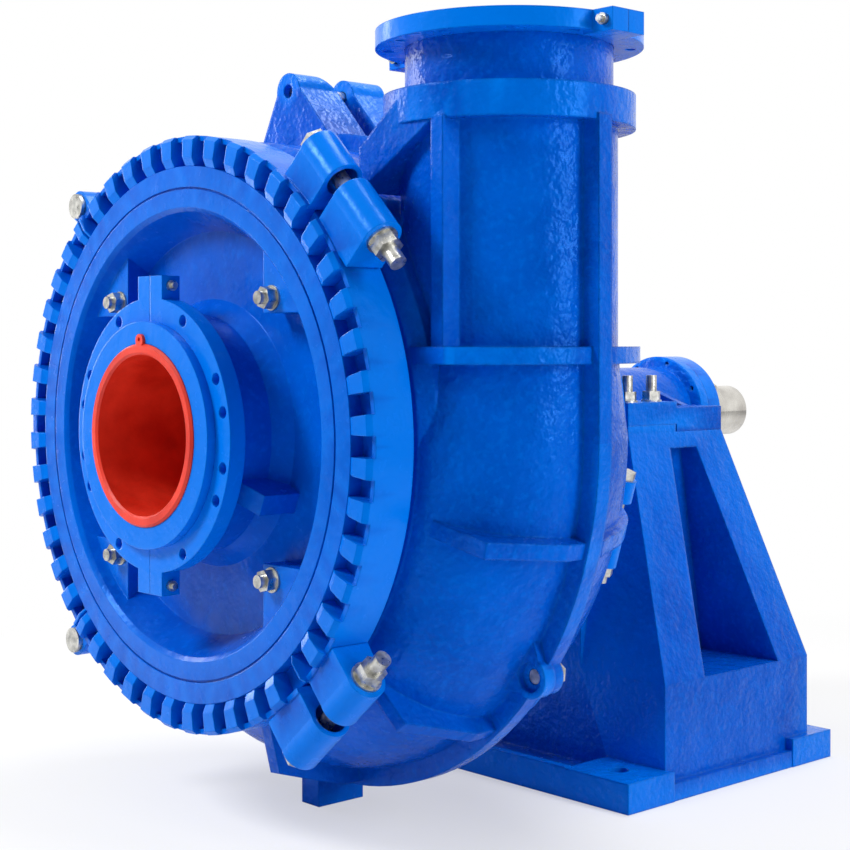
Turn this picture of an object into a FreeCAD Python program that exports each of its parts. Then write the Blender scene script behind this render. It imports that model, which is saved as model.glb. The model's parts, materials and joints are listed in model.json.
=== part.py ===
"""Horizontal slurry pump: a clamped volute casing on a pedestal with a bearing cartridge.

Lengths are millimetres and angles are degrees.  The part's frame has its origin at the centre of
the foundation bolts on the underside of the base, +Z up, and +Y along the shaft from the suction
side to the drive end.  Most pieces are drawn on the shaft line: there a station is the distance
from the suction face along the shaft, and a clock angle is counted from +X towards +Z.
"""

import FreeCAD, Part
import math
import os
import Sketcher
from FreeCAD import Rotation, Vector

# name, value, meaning
SIZES = [
    # the shaft line and the foundation
    ("axis_height", 760.0, "shaft line above the underside of the base"),
    ("suction_station", 1162.0, "suction face to the centre of the foundation bolts"),
    # suction side
    ("suction_bore", 300.0, "clear bore of the throat liner"),
    ("throat_wall", 20.0, "wall of the throat liner's tube"),
    ("throat_proud", 6.0, "how far the liner stands out of the suction face"),
    ("raised_ring_radius", 211.0, "outside of the raised suction ring"),
    ("raised_ring_depth", 18.0, "thickness of the raised suction ring"),
    ("neck_radius", 198.0, "cover neck under the split suction flange"),
    ("suction_flange_radius", 255.0, "outside of the split suction flange"),
    ("suction_flange_thickness", 33.0, "thickness of the split suction flange"),
    ("suction_bolt_circle_radius", 237.0, "bolt circle of the suction flange"),
    ("suction_hole_diameter", 22.0, "bolt holes of the suction flange"),
    ("flange_lug_width", 40.0, "half of the bolted lug pair, across"),
    ("flange_lug_height", 41.0, "how far the lugs stand out of the flange"),
    ("flange_lug_depth", 39.0, "depth of the lugs along the flange axis"),
    ("flange_split", 1.0, "gap between the two halves of a flange"),
    # front cover
    ("hub_radius", 226.0, "cover hub behind the suction flange"),
    ("web_station", 160.0, "front of the cover's web"),
    ("web_radius", 385.0, "where the web meets the dished wall"),
    ("rim_inner_radius", 427.0, "inner edge of the cover's flat rim"),
    ("rim_station", 84.0, "front of the cover's flat rim"),
    ("rim_radius", 504.0, "outer edge of the cover's flat rim"),
    ("cover_groove_radius", 463.0, "turned groove in the rim"),
    ("cover_flange_radius", 546.0, "clamped flanges of cover and casing"),
    ("cover_flange_thickness", 22.0, "clamped flange of the cover"),
    ("mouth_radius", 440.0, "bore of the casing's mouths"),
    ("cover_back_station", 235.0, "back of the cover inside the casing"),
    ("boss_reach", 225.0, "cover stud bosses start this far from the centre planes"),
    ("boss_station", 112.0, "front of the stud bosses"),
    ("cover_stud_spacing_half", 252.0, "stud centres from the centre planes"),
    ("cover_stud_diameter", 24.0, "studs that hold the throat liner"),
    # toothed clamp ring
    ("clamp_radius", 561.0, "outside of the clamp ring's band"),
    ("clamp_wall", 10.0, "wall of the clamp ring's band"),
    ("tooth_station", 77.0, "front of the clamp teeth"),
    ("tooth_depth", 35.0, "depth of the clamp teeth"),
    ("tooth_proud", 14.0, "how far the teeth stand out of the band's edge"),
    ("tooth_chamfer", 16.0, "chamfer on the inner ends of the teeth"),
    ("tooth_slot", 37.0, "width of the slots between teeth"),
    ("clamp_back_station", 174.0, "back of the clamp ring"),
    ("jaw_thickness", 12.0, "back jaw of the clamp ring"),
    ("casing_neck_radius", 518.0, "casing between its flange and its wall"),
    ("clamp_lug_radius", 617.0, "clamp bolts from the shaft line"),
    ("clamp_lug_outer", 38.0, "outer radius of the clamp bolt lugs"),
    ("clamp_lug_station", 132.0, "clamp bolts from the suction face"),
    ("clamp_bolt_diameter", 30.0, "clamp bolts"),
    ("clamp_lug_gap", 34.0, "gap between a pair of clamp bolt lugs"),
    ("clamp_lug_length", 112.0, "length of a clamp bolt lug"),
    ("upper_joint_angle", 45.0, "clock angle of the upper bolted joint"),
    ("lower_joint_angle", -49.0, "clock angle of the lower bolted joint"),
    ("upper_hinge_angle", 130.5, "clock angle of the upper hinge pin"),
    ("lower_hinge_angle", -132.0, "clock angle of the lower hinge pin"),
    ("hinge_pin_radius", 596.0, "hinge pins from the shaft line"),
    ("hinge_pin_diameter", 30.0, "hinge pins"),
    ("hinge_eye_outer", 32.0, "outer radius of the hinge eyes"),
    # volute casing
    ("volute_station", 450.0, "middle plane of the volute"),
    ("volute_half_width", 245.0, "half of the casing's width"),
    ("casing_wall", 38.0, "casing wall"),
    ("tongue_angle", 50.0, "clock angle where the spiral starts"),
    ("spiral_end_radius", 707.0, "casing wall from the shaft line where the nozzle leaves"),
    ("spiral_offset", 35.0, "centre of the casing's last arc beside the shaft line"),
    ("spiral_step", 38.0, "growth of the casing's wall with each quarter turn"),
    ("crown_reach", 202.0, "depth of the casing's domed crown"),
    ("crown_radius", 270.0, "large radius over the casing's crown"),
    ("crown_corner_radius", 150.0, "radius at both sides of the casing's crown"),
    ("crown_foot", 95.0, "depth of the casing's section inside its crown"),
    ("throat_top", 330.0, "where the passage above the chamber turns round"),
    ("shoulder_radius", 560.0, "casing's drum behind its clamped flange"),
    ("rear_shoulder_radius", 500.0, "casing's drum in front of its drive side flange"),
    ("shoulder_chamfer", 24.0, "chamfer at both ends of the casing's drum"),
    ("belt_rib_height", 36.0, "rib round the casing above its wall"),
    ("belt_rib_thickness", 33.0, "rib round the casing, along the shaft"),
    ("hoop_rib_height", 28.0, "ribs across the casing above its wall"),
    ("hoop_rib_shoulder", 210.0, "ribs' front corner from the casing's middle plane"),
    ("hoop_rib_shoulder_drop", 19.0, "ribs' front corner below the casing's wall"),
    ("hoop_rib_flat", 60.0, "ribs' highest stretch each side of the middle plane"),
    ("hoop_rib_back_height", 20.0, "ribs above the wall on the drive side"),
    ("hoop_rib_thickness", 30.0, "ribs across the casing"),
    ("hoop_rib_step_angle", 34.8, "clock angle between the ribs across the casing"),
    ("first_hoop_angle", 101.0, "clock angle of the first rib across the casing"),
    ("foot_width", 55.0, "casing foot across the shaft"),
    ("foot_length", 115.0, "casing foot along the shaft"),
    ("foot_gap", 0.5, "casing foot above the foundation"),
    # discharge side
    ("nozzle_radius", 196.0, "outside of the discharge nozzle"),
    ("nozzle_start", 165.0, "where the nozzle becomes round"),
    ("discharge_bore", 250.0, "clear bore of the discharge"),
    ("discharge_neck_radius", 188.0, "nozzle under the split discharge flange"),
    ("collar_radius", 228.0, "collar round the nozzle"),
    ("collar_bottom", 553.0, "underside of the collar"),
    ("collar_thickness", 61.0, "thickness of the collar"),
    ("discharge_flange_radius", 242.0, "outside of the split discharge flange"),
    ("discharge_flange_bottom", 700.0, "underside of the discharge flange"),
    ("discharge_flange_thickness", 33.0, "thickness of the split discharge flange"),
    ("discharge_bolt_circle_radius", 218.0, "bolt circle of the discharge flange"),
    ("discharge_hole_diameter", 20.0, "bolt holes of the discharge flange"),
    ("discharge_lip_radius", 200.0, "lip that holds the discharge flange"),
    ("discharge_lip_height", 6.0, "lip above the discharge flange"),
    ("front_rib_offset", 50.0, "nozzle's front rib beyond the nozzle's centre line"),
    ("front_rib_thickness", 30.0, "nozzle's front rib"),
    ("ledge_rib_thickness", 30.0, "level rib round the foot of the nozzle"),
    ("ledge_rib_height", 22.0, "level rib beyond the casing's wall"),
    ("rear_mouth_radius", 420.0, "bore of the casing's drive side mouth"),
    ("rear_neck_radius", 444.0, "casing between its drive side flange and its wall"),
    ("rear_flange_radius", 470.0, "clamped flanges on the drive side"),
    ("rear_clamp_radius", 485.0, "outside of the drive side clamp's band"),
    ("rear_lug_radius", 515.0, "drive side clamp bolts from the shaft line"),
    ("rear_lug_outer", 24.0, "outer radius of the drive side clamp's lugs"),
    ("rear_lug_length", 100.0, "nut side lug of the drive side clamp"),
    ("rear_lug_head_length", 45.0, "head side lug of the drive side clamp"),
    ("rear_bolt_diameter", 24.0, "drive side clamp bolts"),
    ("rear_joint_angle", -17.0, "clock angle of the drive side clamp's joint"),
    ("cone_radius", 430.0, "drive side cone where it meets its flange"),
    ("cone_bore_radius", 370.0, "inside of the drive side cone at its wide end"),
    ("cone_end_radius", 228.0, "drive side cone where it meets the bulkhead flange"),
    ("clamp_lip_depth", 14.0, "drive side clamp behind the flange it holds"),
    # tie lugs
    ("lug_station", 416.0, "front of the tie lugs"),
    ("lug_plate_thickness", 27.0, "front plate of a tie lug"),
    ("lug_back_thickness", 24.0, "back plate of a tie lug"),
    ("tie_right_rise", 26.0, "right tie stud above the casing's wall"),
    ("tie_left_rise", 79.0, "left tie stud above the casing's wall"),
    ("tie_stud_diameter", 26.0, "tie studs"),
    ("tie_eye_outer", 38.0, "outer radius of the tie lugs' eyes"),
    ("tie_counterbore_radius", 26.0, "counterbore in the front of a tie lug"),
    ("tie_counterbore_depth", 12.0, "depth of that counterbore"),
    ("tie_right_angle", -35.0, "clock angle of the right tie stud"),
    ("tie_left_angle", -143.0, "clock angle of the left tie stud"),
    ("lifting_rise", 139.0, "lifting bar above the casing's wall"),
    ("lifting_angle", 98.0, "clock angle of the lifting bar"),
    ("lifting_lug_length", 100.0, "front lug of the lifting bar, along the shaft"),
    ("lifting_back_start", 560.0, "front of the back lug of the lifting bar"),
    ("lifting_back_length", 88.0, "back lug of the lifting bar, along the shaft"),
    ("lifting_chamfer", 40.0, "chamfer behind the front lug of the lifting bar"),
    ("lug_web_ratio", 0.7, "half width that a lug's web gains for each length down"),
    # impeller and liners
    ("impeller_radius", 360.0, "outside of the impeller"),
    ("impeller_front", 285.0, "front of the impeller"),
    ("impeller_back", 615.0, "back of the impeller"),
    ("shroud_thickness", 32.0, "impeller shrouds"),
    ("impeller_clearance", 8.0, "between the impeller and its liners"),
    ("liner_gap", 2.0, "liners inside the casing's mouths"),
    ("vane_thickness", 34.0, "impeller vanes"),
    # frame plate, stuffing box and seal
    ("liner_thickness", 42.0, "wear plates in front of and behind the impeller"),
    ("frame_flange_radius", 300.0, "frame plate where it meets the pedestal"),
    ("frame_flange_thickness", 30.0, "frame plate flange on the pedestal"),
    ("frame_bore_radius", 215.0, "opening of the frame plate and the pedestal's wall"),
    ("frame_bolt_circle_radius", 270.0, "bolts between frame plate and pedestal"),
    ("frame_bolt_diameter", 20.0, "bolts between frame plate and pedestal"),
    ("gland_window_half", 80.0, "half height of the windows at the gland"),
    ("bulkhead_station", 952.0, "front of the pedestal"),
    ("bulkhead_thickness", 40.0, "pedestal wall behind the frame plate"),
    ("box_radius", 128.0, "outside of the stuffing box"),
    ("box_bore_radius", 100.0, "bore of the stuffing box"),
    ("packing_width", 24.0, "length of one packing ring"),
    ("sleeve_radius", 75.0, "shaft sleeve"),
    ("running_gap", 0.05, "radial clearance of running fits"),
    # rotor
    ("shaft_radius", 62.0, "shaft at its drive end"),
    ("shaft_nose_radius", 50.0, "shaft inside the impeller"),
    ("bearing_seat_radius", 65.0, "shaft under the bearings"),
    ("collar_seat_radius", 63.5, "shaft under the lock collar"),
    ("collar_seat_length", 46.0, "that seat, from inside the rear cover"),
    ("lock_collar_radius", 80.0, "lock collar behind the rear cover"),
    ("shaft_end_station", 1763.0, "drive end of the shaft"),
    ("key_width", 32.0, "keyway at the drive end"),
    # bearing cartridge
    ("housing_radius", 112.0, "outside of the bearing housing"),
    ("housing_bore_radius", 98.0, "bearing seats in the housing"),
    ("housing_front", 1020.0, "front of the bearing housing"),
    ("housing_back", 1510.0, "back of the bearing housing"),
    ("end_cover_thickness", 48.0, "end covers of the bearing housing"),
    ("end_cover_radius", 138.0, "outside of the end covers"),
    ("cover_screw_circle_radius", 124.0, "screws of the end covers"),
    ("screw_drop", 66.0, "adjusting screw below the shaft line"),
    ("screw_inset", 32.0, "adjusting screw inside the tower"),
    ("bearing_width", 60.0, "bearing rings"),
    ("ear_reach", 285.0, "ears of the housing from the shaft plane"),
    ("ear_front", 1041.0, "front of the front ears"),
    ("ear_split", 1206.0, "where the front ears meet the rear ears"),
    ("ear_back", 1364.0, "back of the rear ears"),
    ("front_ear_top", 42.0, "top of the front ears above the shaft line"),
    ("front_ear_bottom", -8.0, "underside of the front ears"),
    ("rear_ear_top", 28.0, "top of the rear ears above the shaft line"),
    ("rear_ear_bottom", -25.0, "underside of the rear ears"),
    ("ear_stud_reach", 245.0, "ear studs from the shaft plane"),
    ("ear_stud_diameter", 24.0, "studs that clamp the ears"),
    ("cartridge_travel", 4.0, "axial setting of the cartridge each way"),
    # pedestal
    ("base_half_width", 478.0, "base plate from the shaft plane"),
    ("base_front", 815.0, "front of the base"),
    ("base_back", 1509.0, "back of the base"),
    ("base_plate_thickness", 36.0, "base plate"),
    ("foot_pad_thickness", 61.0, "thick corners of the base"),
    ("foot_pad_inner", 304.0, "inner side of the thick corners"),
    ("foot_pad_length", 144.0, "thick corners along the shaft"),
    ("foundation_hole_diameter", 40.0, "foundation bolt holes"),
    ("tower_outer", 460.0, "outside of the pedestal's blocks"),
    ("tower_inner", 222.0, "inside of the pedestal's towers"),
    ("tower_front", 952.0, "front of the towers at the bottom"),
    ("tower_back", 1447.0, "back of the towers at the bottom"),
    ("block_height", 234.0, "top of the pedestal's blocks above the foundation"),
    ("rear_wall_station", 1360.0, "front of the wall between the towers at their back"),
    ("rear_wall_thickness", 35.0, "wall between the towers at their back"),
    ("window_wall", 28.0, "web left behind the pedestal's windows"),
    ("window_front", 1082.0, "window's front corner at the bottom"),
    ("window_back", 1338.0, "window's back corner at the bottom"),
    ("window_top_front", 1168.0, "window's front corner at the top"),
    ("window_top_back", 1259.0, "window's back corner at the top"),
]


class Size:
    """A length or angle that knows its value now and its formula in the sheet."""

    def __init__(self, value, formula=None):
        self.value = float(value)
        self.formula = formula or repr(float(value))

    def __add__(self, other):
        other = as_size(other)
        return Size(self.value + other.value, f"({self.formula} + {other.formula})")

    def __sub__(self, other):
        other = as_size(other)
        return Size(self.value - other.value, f"({self.formula} - {other.formula})")

    def __mul__(self, other):
        other = as_size(other)
        return Size(self.value * other.value, f"({self.formula} * {other.formula})")

    def __truediv__(self, other):
        other = as_size(other)
        return Size(self.value / other.value, f"({self.formula} / {other.formula})")

    def __radd__(self, other):
        return as_size(other) + self

    def __rsub__(self, other):
        return as_size(other) - self

    def __rmul__(self, other):
        return as_size(other) * self

    def __neg__(self):
        return as_size(0) - self

    def __float__(self):
        return self.value


def as_size(value):
    return value if isinstance(value, Size) else Size(value)


def cosine(angle):
    angle = as_size(angle)
    return Size(math.cos(math.radians(angle.value)), f"cos({angle.formula} * 1 deg)")


def sine(angle):
    angle = as_size(angle)
    return Size(math.sin(math.radians(angle.value)), f"sin({angle.formula} * 1 deg)")


class Sheet:
    """The driving sizes, kept in a spreadsheet of the document and read by name."""

    def __init__(self, document, rows):
        self.sheet = document.addObject("Spreadsheet::Sheet", "Sizes")
        for number, (name, value, meaning) in enumerate(rows, start=1):
            self.sheet.set(f"A{number}", name)
            self.sheet.set(f"B{number}", str(value))
            self.sheet.set(f"C{number}", meaning)
            self.sheet.setAlias(f"B{number}", name)
            setattr(self, name, Size(value, f"Sizes.{name}"))


doc = FreeCAD.newDocument("slurry_pump")
d = Sheet(doc, SIZES)
doc.recompute()

SHAFT_LINE = Vector(0, 1, 0)
ALONG = {
    "X": Rotation(Vector(0, 1, 0), 90),
    "Y": Rotation(Vector(1, 0, 0), -90),
    "Z": Rotation(),
}
NODES = []


# ---------------------------------------------------------------- helpers

def bind(thing, name, value):
    """Ties a property to its formula."""
    value = as_size(value)
    if "Sizes." in value.formula:
        thing.setExpression(name, value.formula)
    else:
        setattr(thing, name, value.value)


def place(thing, x=0.0, y=0.0, z=0.0, rotation=Rotation()):
    """Puts a thing at a point whose coordinates stay tied to the sheet."""
    point = [as_size(x), as_size(y), as_size(z)]
    thing.Placement = FreeCAD.Placement(Vector(*[c.value for c in point]), rotation)
    for axis, coordinate in zip("xyz", point):
        if "Sizes." in coordinate.formula:
            thing.setExpression(f"Placement.Base.{axis}", coordinate.formula)
    return thing


def turned_by(angle):
    """Turns the shaft line frame so that its +X points at a clock angle."""
    return Rotation(SHAFT_LINE, -float(angle))


def around(thing, radius, angle, station, rotation=Rotation()):
    """Puts a thing at a radius and clock angle, turned with that angle."""
    radius = as_size(radius)
    return place(thing, radius * cosine(angle), station, radius * sine(angle),
                 turned_by(angle) * rotation)


def cylinder(radius, length, along="Y", x=0.0, y=0.0, z=0.0, sweep=None):
    thing = doc.addObject("Part::Cylinder", "cylinder")
    bind(thing, "Radius", radius)
    bind(thing, "Height", length)
    if sweep is not None:
        thing.Angle = float(sweep)
    return place(thing, x, y, z, ALONG[along])


def cone(radius_1, radius_2, length, along="Y", x=0.0, y=0.0, z=0.0):
    thing = doc.addObject("Part::Cone", "cone")
    bind(thing, "Radius1", radius_1)
    bind(thing, "Radius2", radius_2)
    bind(thing, "Height", length)
    return place(thing, x, y, z, ALONG[along])


def box(x_range, y_range, z_range):
    """A box between two values along each axis."""
    thing = doc.addObject("Part::Box", "box")
    lows = [as_size(pair[0]) for pair in (x_range, y_range, z_range)]
    highs = [as_size(pair[1]) for pair in (x_range, y_range, z_range)]
    for name, low, high in zip(("Length", "Width", "Height"), lows, highs):
        bind(thing, name, high - low)
    return place(thing, *lows)


def hexagon(across_flats, length, along="Y"):
    thing = doc.addObject("Part::Prism", "hexagon")
    thing.Polygon = 6
    bind(thing, "Circumradius", as_size(across_flats) / math.sqrt(3.0))
    bind(thing, "Height", length)
    return place(thing, rotation=ALONG[along])


def group(things, kind="Part::Compound", name="group"):
    thing = doc.addObject(kind, name)
    if kind == "Part::Compound":
        thing.Links = things
    else:
        thing.Shapes = things
    return thing


def fuse(things):
    return things[0] if len(things) == 1 else group(things, "Part::MultiFuse", "fuse")


def common(things):
    return group(things, "Part::MultiCommon", "common")


def cut(base, tools):
    thing = doc.addObject("Part::Cut", "cut")
    thing.Base = base
    thing.Tool = tools[0] if len(tools) == 1 else group(tools)
    return thing


def node(label, thing, on_shaft_line=True):
    """Names a finished piece; pieces drawn on the shaft line move there."""
    thing.Label = label
    if on_shaft_line:
        place(thing, 0.0, -d.suction_station, d.axis_height, thing.Placement.Rotation)
    NODES.append(thing)
    return thing


def origin_plane(body, role):
    return [plane for plane in body.Origin.OriginFeatures if plane.Role == role][0]


def new_body(name):
    return doc.addObject("PartDesign::Body", name)


def outline(body, corners, plane="XY_Plane", lift=0.0):
    """A closed sketch of straight lines whose corners are tied to the sheet."""
    sketch = body.newObject("Sketcher::SketchObject", "outline")
    sketch.AttachmentSupport = [(origin_plane(body, plane), "")]
    sketch.MapMode = "FlatFace"
    lift = as_size(lift)
    sketch.AttachmentOffset = FreeCAD.Placement(Vector(0, 0, lift.value), Rotation())
    if "Sizes." in lift.formula:
        sketch.setExpression("AttachmentOffset.Base.z", lift.formula)
    corners = [(as_size(x), as_size(y)) for x, y in corners]
    count = len(corners)
    ends = [Vector(x.value, y.value, 0) for x, y in corners]
    sketch.addGeometry([Part.LineSegment(ends[i], ends[(i + 1) % count]) for i in range(count)])
    rules = [Sketcher.Constraint("Coincident", i, 2, (i + 1) % count, 1) for i in range(count)]
    for i, (x, y) in enumerate(corners):
        rules.append(Sketcher.Constraint("DistanceX", -1, 1, i, 1, x.value))
        rules.append(Sketcher.Constraint("DistanceY", -1, 1, i, 1, y.value))
    sketch.addConstraint(rules)
    for i, corner in enumerate(corners):
        for j, coordinate in enumerate(corner):
            if "Sizes." in coordinate.formula:
                sketch.setExpression(f"Constraints[{count + 2 * i + j}]", coordinate.formula)
    return sketch


def turned(name, corners):
    """A body turned about the shaft line from (radius, station) corners."""
    body = new_body(name)
    turning = body.newObject("PartDesign::Revolution", "turning")
    turning.Profile = outline(body, corners)
    turning.ReferenceAxis = (turning.Profile[0], ["V_Axis"])
    turning.Angle = 360.0
    return body


def plate(name, corners, length, plane="XY_Plane", lift=0.0):
    """A body padded from an outline."""
    body = new_body(name)
    pad = body.newObject("PartDesign::Pad", "pad")
    pad.Profile = outline(body, corners, plane, lift)
    bind(pad, "Length", length)
    return body


def ring(inner, outer, length, station=0.0):
    """A plain ring on the shaft line."""
    return cut(cylinder(outer, length, y=station),
               [cylinder(inner, as_size(length) + 2, y=as_size(station) - 1)])


# ---------------------------------------------------------------- fasteners

def nut(size, along="Y"):
    """A hexagon nut with its hole, standing on the origin."""
    size = as_size(size)
    body = hexagon(size * 1.5, size * 0.8, along)
    return cut(body, [cylinder(size / 2 + 0.02, size * 0.8, along)])


def washer(size, along="Y"):
    size = as_size(size)
    return cut(cylinder(size * 0.95, size * 0.15, along), [cylinder(size / 2 + 0.5, size * 0.15, along)])


def moved(thing, x, y, z, rotation=Rotation()):
    """Wraps a thing so that it can be placed without changing how it was made."""
    holder = group([thing])
    return place(holder, x, y, z, rotation)


# ---------------------------------------------------------------- derived places

FIT = 0.3
throat_radius = d.suction_bore / 2 + d.throat_wall
suction_flange_front = d.raised_ring_depth
suction_flange_back = suction_flange_front + d.suction_flange_thickness
cover_flange_front = d.tooth_station + d.tooth_depth
casing_front = cover_flange_front + d.cover_flange_thickness
casing_back = d.volute_station * 2 - casing_front
jaw_front = d.clamp_back_station - d.jaw_thickness
band_inner = d.clamp_radius - d.clamp_wall
liner_radius = d.mouth_radius - d.liner_gap
throat_back = d.impeller_front - d.impeller_clearance
back_liner_front = d.impeller_back + d.impeller_clearance
back_liner_back = back_liner_front + d.liner_thickness
frame_flange_back = casing_back + d.cover_flange_thickness
nozzle_offset = d.spiral_end_radius - d.nozzle_radius
rear_liner_radius = d.rear_mouth_radius - d.liner_gap
rear_band_inner = d.rear_clamp_radius - d.clamp_wall
lug_back = d.lug_station + d.lug_plate_thickness + d.lug_back_thickness
cover_stud_radius = d.cover_stud_spacing_half * math.sqrt(2.0)
packing_front = back_liner_back + 25
gland_front = packing_front + d.packing_width * 6
box_back = gland_front + 46
belt_radius_end = d.spiral_end_radius + d.belt_rib_height
discharge_top = d.discharge_flange_bottom + d.discharge_flange_thickness
rear_cover_back = d.housing_back + d.end_cover_thickness


def drilled(radius, angle, front, back, hole_radius):
    """A drill along the shaft at a clock angle, a little longer than the stretch it goes through."""
    drill = cylinder(hole_radius, as_size(back) - front + 2)
    return around(drill, radius, angle, as_size(front) - 1, ALONG["Y"])


def slab(corners, start, length):
    """A plate square to the shaft from (x, height) corners, starting at a station."""
    body = new_body("slab")
    pad = body.newObject("PartDesign::Pad", "pad")
    pad.Profile = outline(body, corners, "XZ_Plane", -as_size(start))
    bind(pad, "Length", length)
    pad.Reversed = True
    return body


# ---------------------------------------------------------------- suction side

def make_front_cover():
    shell = turned("cover_shell", [
        (throat_radius + FIT, 0),
        (d.raised_ring_radius, 0),
        (d.raised_ring_radius, suction_flange_front),
        (d.neck_radius, suction_flange_front),
        (d.neck_radius, suction_flange_back),
        (d.hub_radius, suction_flange_back + 1),
        (d.hub_radius, d.web_station - 30),
        (d.hub_radius + 30, d.web_station),
        (d.web_radius, d.web_station),
        (d.rim_inner_radius - 8, d.rim_station + 8),
        (d.rim_inner_radius, d.rim_station),
        (d.cover_groove_radius - 2, d.rim_station),
        (d.cover_groove_radius - 2, d.rim_station + 4),
        (d.cover_groove_radius + 2, d.rim_station + 4),
        (d.cover_groove_radius + 2, d.rim_station),
        (d.rim_radius, d.rim_station),
        (d.rim_radius, cover_flange_front),
        (d.cover_flange_radius, cover_flange_front),
        (d.cover_flange_radius, casing_front),
        (d.mouth_radius - FIT, casing_front),
        (d.mouth_radius - FIT, d.cover_back_station),
        (throat_radius + FIT, d.cover_back_station),
    ])
    reach = d.rim_inner_radius
    blocks = [box(across, (d.boss_station, d.cover_back_station - 20), up)
              for across in ((d.boss_reach, reach), (-reach, -d.boss_reach))
              for up in ((d.boss_reach, reach), (-reach, -d.boss_reach))]
    bosses = common([group(blocks), cylinder(d.rim_inner_radius, 200, y=d.boss_station - 10)])
    webs = []
    for angle in (-24, 156):
        web = plate("hub_web", [
            (d.hub_radius - 10, suction_flange_back + 8),
            (d.hub_radius + 62, suction_flange_back + 30),
            (d.hub_radius + 62, d.web_station + 5),
            (d.hub_radius - 10, d.web_station + 5),
        ], 40, lift=-20)
        web.Placement = FreeCAD.Placement(Vector(), turned_by(angle))
        webs.append(web)
    drills = [drilled(cover_stud_radius, 45 + 90 * i, d.boss_station, d.cover_back_station,
                      d.cover_stud_diameter / 2 + 1) for i in range(4)]
    node("front_cover", cut(fuse([shell, bosses] + webs), drills))


def make_throat_liner():
    bore = d.suction_bore / 2
    shell = turned("throat_shell", [
        (bore, 4 - d.throat_proud),
        (bore + 4, -d.throat_proud),
        (throat_radius - 4, -d.throat_proud),
        (throat_radius, 4 - d.throat_proud),
        (throat_radius, d.cover_back_station),
        (liner_radius, d.cover_back_station),
        (liner_radius, throat_back),
        (bore, throat_back),
    ])
    tongue = cut(cylinder(12, d.throat_proud, y=-d.throat_proud, z=throat_radius + 6),
                 [cylinder(4, d.throat_proud + 2, y=-d.throat_proud - 1, z=throat_radius + 8)])
    node("throat_liner", fuse([shell, tongue]))


def make_cover_studs():
    length = d.cover_back_station + 20 - (d.boss_station - 40)
    studs = []
    nuts = []
    for i in range(4):
        angle = 45 + 90 * i
        size = d.cover_stud_diameter
        stud = cylinder(size / 2, d.cover_back_station - d.boss_station + 34)
        studs.append(around(stud, cover_stud_radius, angle, d.boss_station - 34, ALONG["Y"]))
        seat = d.boss_station - size * 0.15
        nuts.append(around(washer(size), cover_stud_radius, angle, seat))
        nuts.append(around(nut(size), cover_stud_radius, angle, seat - size * 0.8))
    node("cover_studs", group(studs))
    node("cover_nuts", group(nuts))


def flange_half(side, radius, inner, thickness, bolt_circle, hole_radius, angles, front):
    """Half of a split flange with its two bolting lugs; side is +1 on +X and -1 on -X."""
    disc = cut(cylinder(radius, thickness, y=front), [
        cylinder(inner, as_size(thickness) + 2, y=as_size(front) - 1)])
    lug_top = as_size(radius) + d.flange_lug_height
    back = as_size(front) + d.flange_lug_depth
    lugs = [box((0, d.flange_lug_width), (front, back), up)
            for up in ((as_size(radius) - 25, lug_top), (-lug_top, 25 - as_size(radius)))]
    if side < 0:
        lugs = [place(lug, -d.flange_lug_width, front, lug.Placement.Base.z) for lug in lugs]
    return disc, lugs, lug_top


def make_split_flange(names, radius, inner, thickness, bolt_circle, hole_diameter, angles, front):
    """Two halves, split in the plane x = 0, bolted together across their lugs."""
    radius = as_size(radius)
    lug_top = radius + d.flange_lug_height
    back = front + d.flange_lug_depth
    bolt_height = radius + d.flange_lug_height * 0.55
    halves = []
    for side in (1, -1):
        reach = radius + 5
        across = (d.flange_split / 2, reach) if side > 0 else (-reach, -d.flange_split / 2)
        keep = box(across, (front - 1, back + 1), (-lug_top - 1, lug_top + 1))
        disc = cylinder(radius, thickness, y=front)
        width = d.flange_lug_width
        lugs = [box((-width, width), (front, back), (radius - 25, lug_top)),
                box((-width, width), (front, back), (-lug_top, 25 - radius))]
        drills = [drilled(bolt_circle, angle if side > 0 else 180 - angle, front, back,
                          hole_diameter / 2) for angle in angles]
        drills.append(cylinder(inner, thickness + 60, y=front - 10))
        drills += [cylinder(7, 120, "X", -60, (front + back) / 2, up)
                   for up in (bolt_height, -bolt_height)]
        halves.append(cut(common([fuse([disc] + lugs), keep]), drills))
    bolts = []
    for up in (bolt_height, -bolt_height):
        middle = (front + back) / 2
        width = d.flange_lug_width
        bolts.append(fuse([cylinder(6, width * 2 + 24, "X", -width - 8, middle, up),
                           cylinder(10, 8, "X", width, middle, up)]))
        bolts.append(moved(nut(12, "X"), -width - 12 * 0.8, middle, up))
    return halves, bolts


def make_suction_flange():
    halves, bolts = make_split_flange(
        None, d.suction_flange_radius, d.neck_radius + FIT, d.suction_flange_thickness,
        d.suction_bolt_circle_radius, d.suction_hole_diameter, (63, 27, 12, -12, -27, -63),
        suction_flange_front)
    node("suction_flange_right", halves[0])
    node("suction_flange_left", halves[1])
    node("suction_flange_bolts", group(bolts))


# ---------------------------------------------------------------- clamp rings

def sector(start, end):
    """A slice of pie round the shaft between two clock angles."""
    slice_ = cylinder(900, 400, sweep=float(end) - float(start))
    slice_.Placement = FreeCAD.Placement(Vector(0, -50, 0), turned_by(end) * ALONG["Y"])
    return slice_


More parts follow.
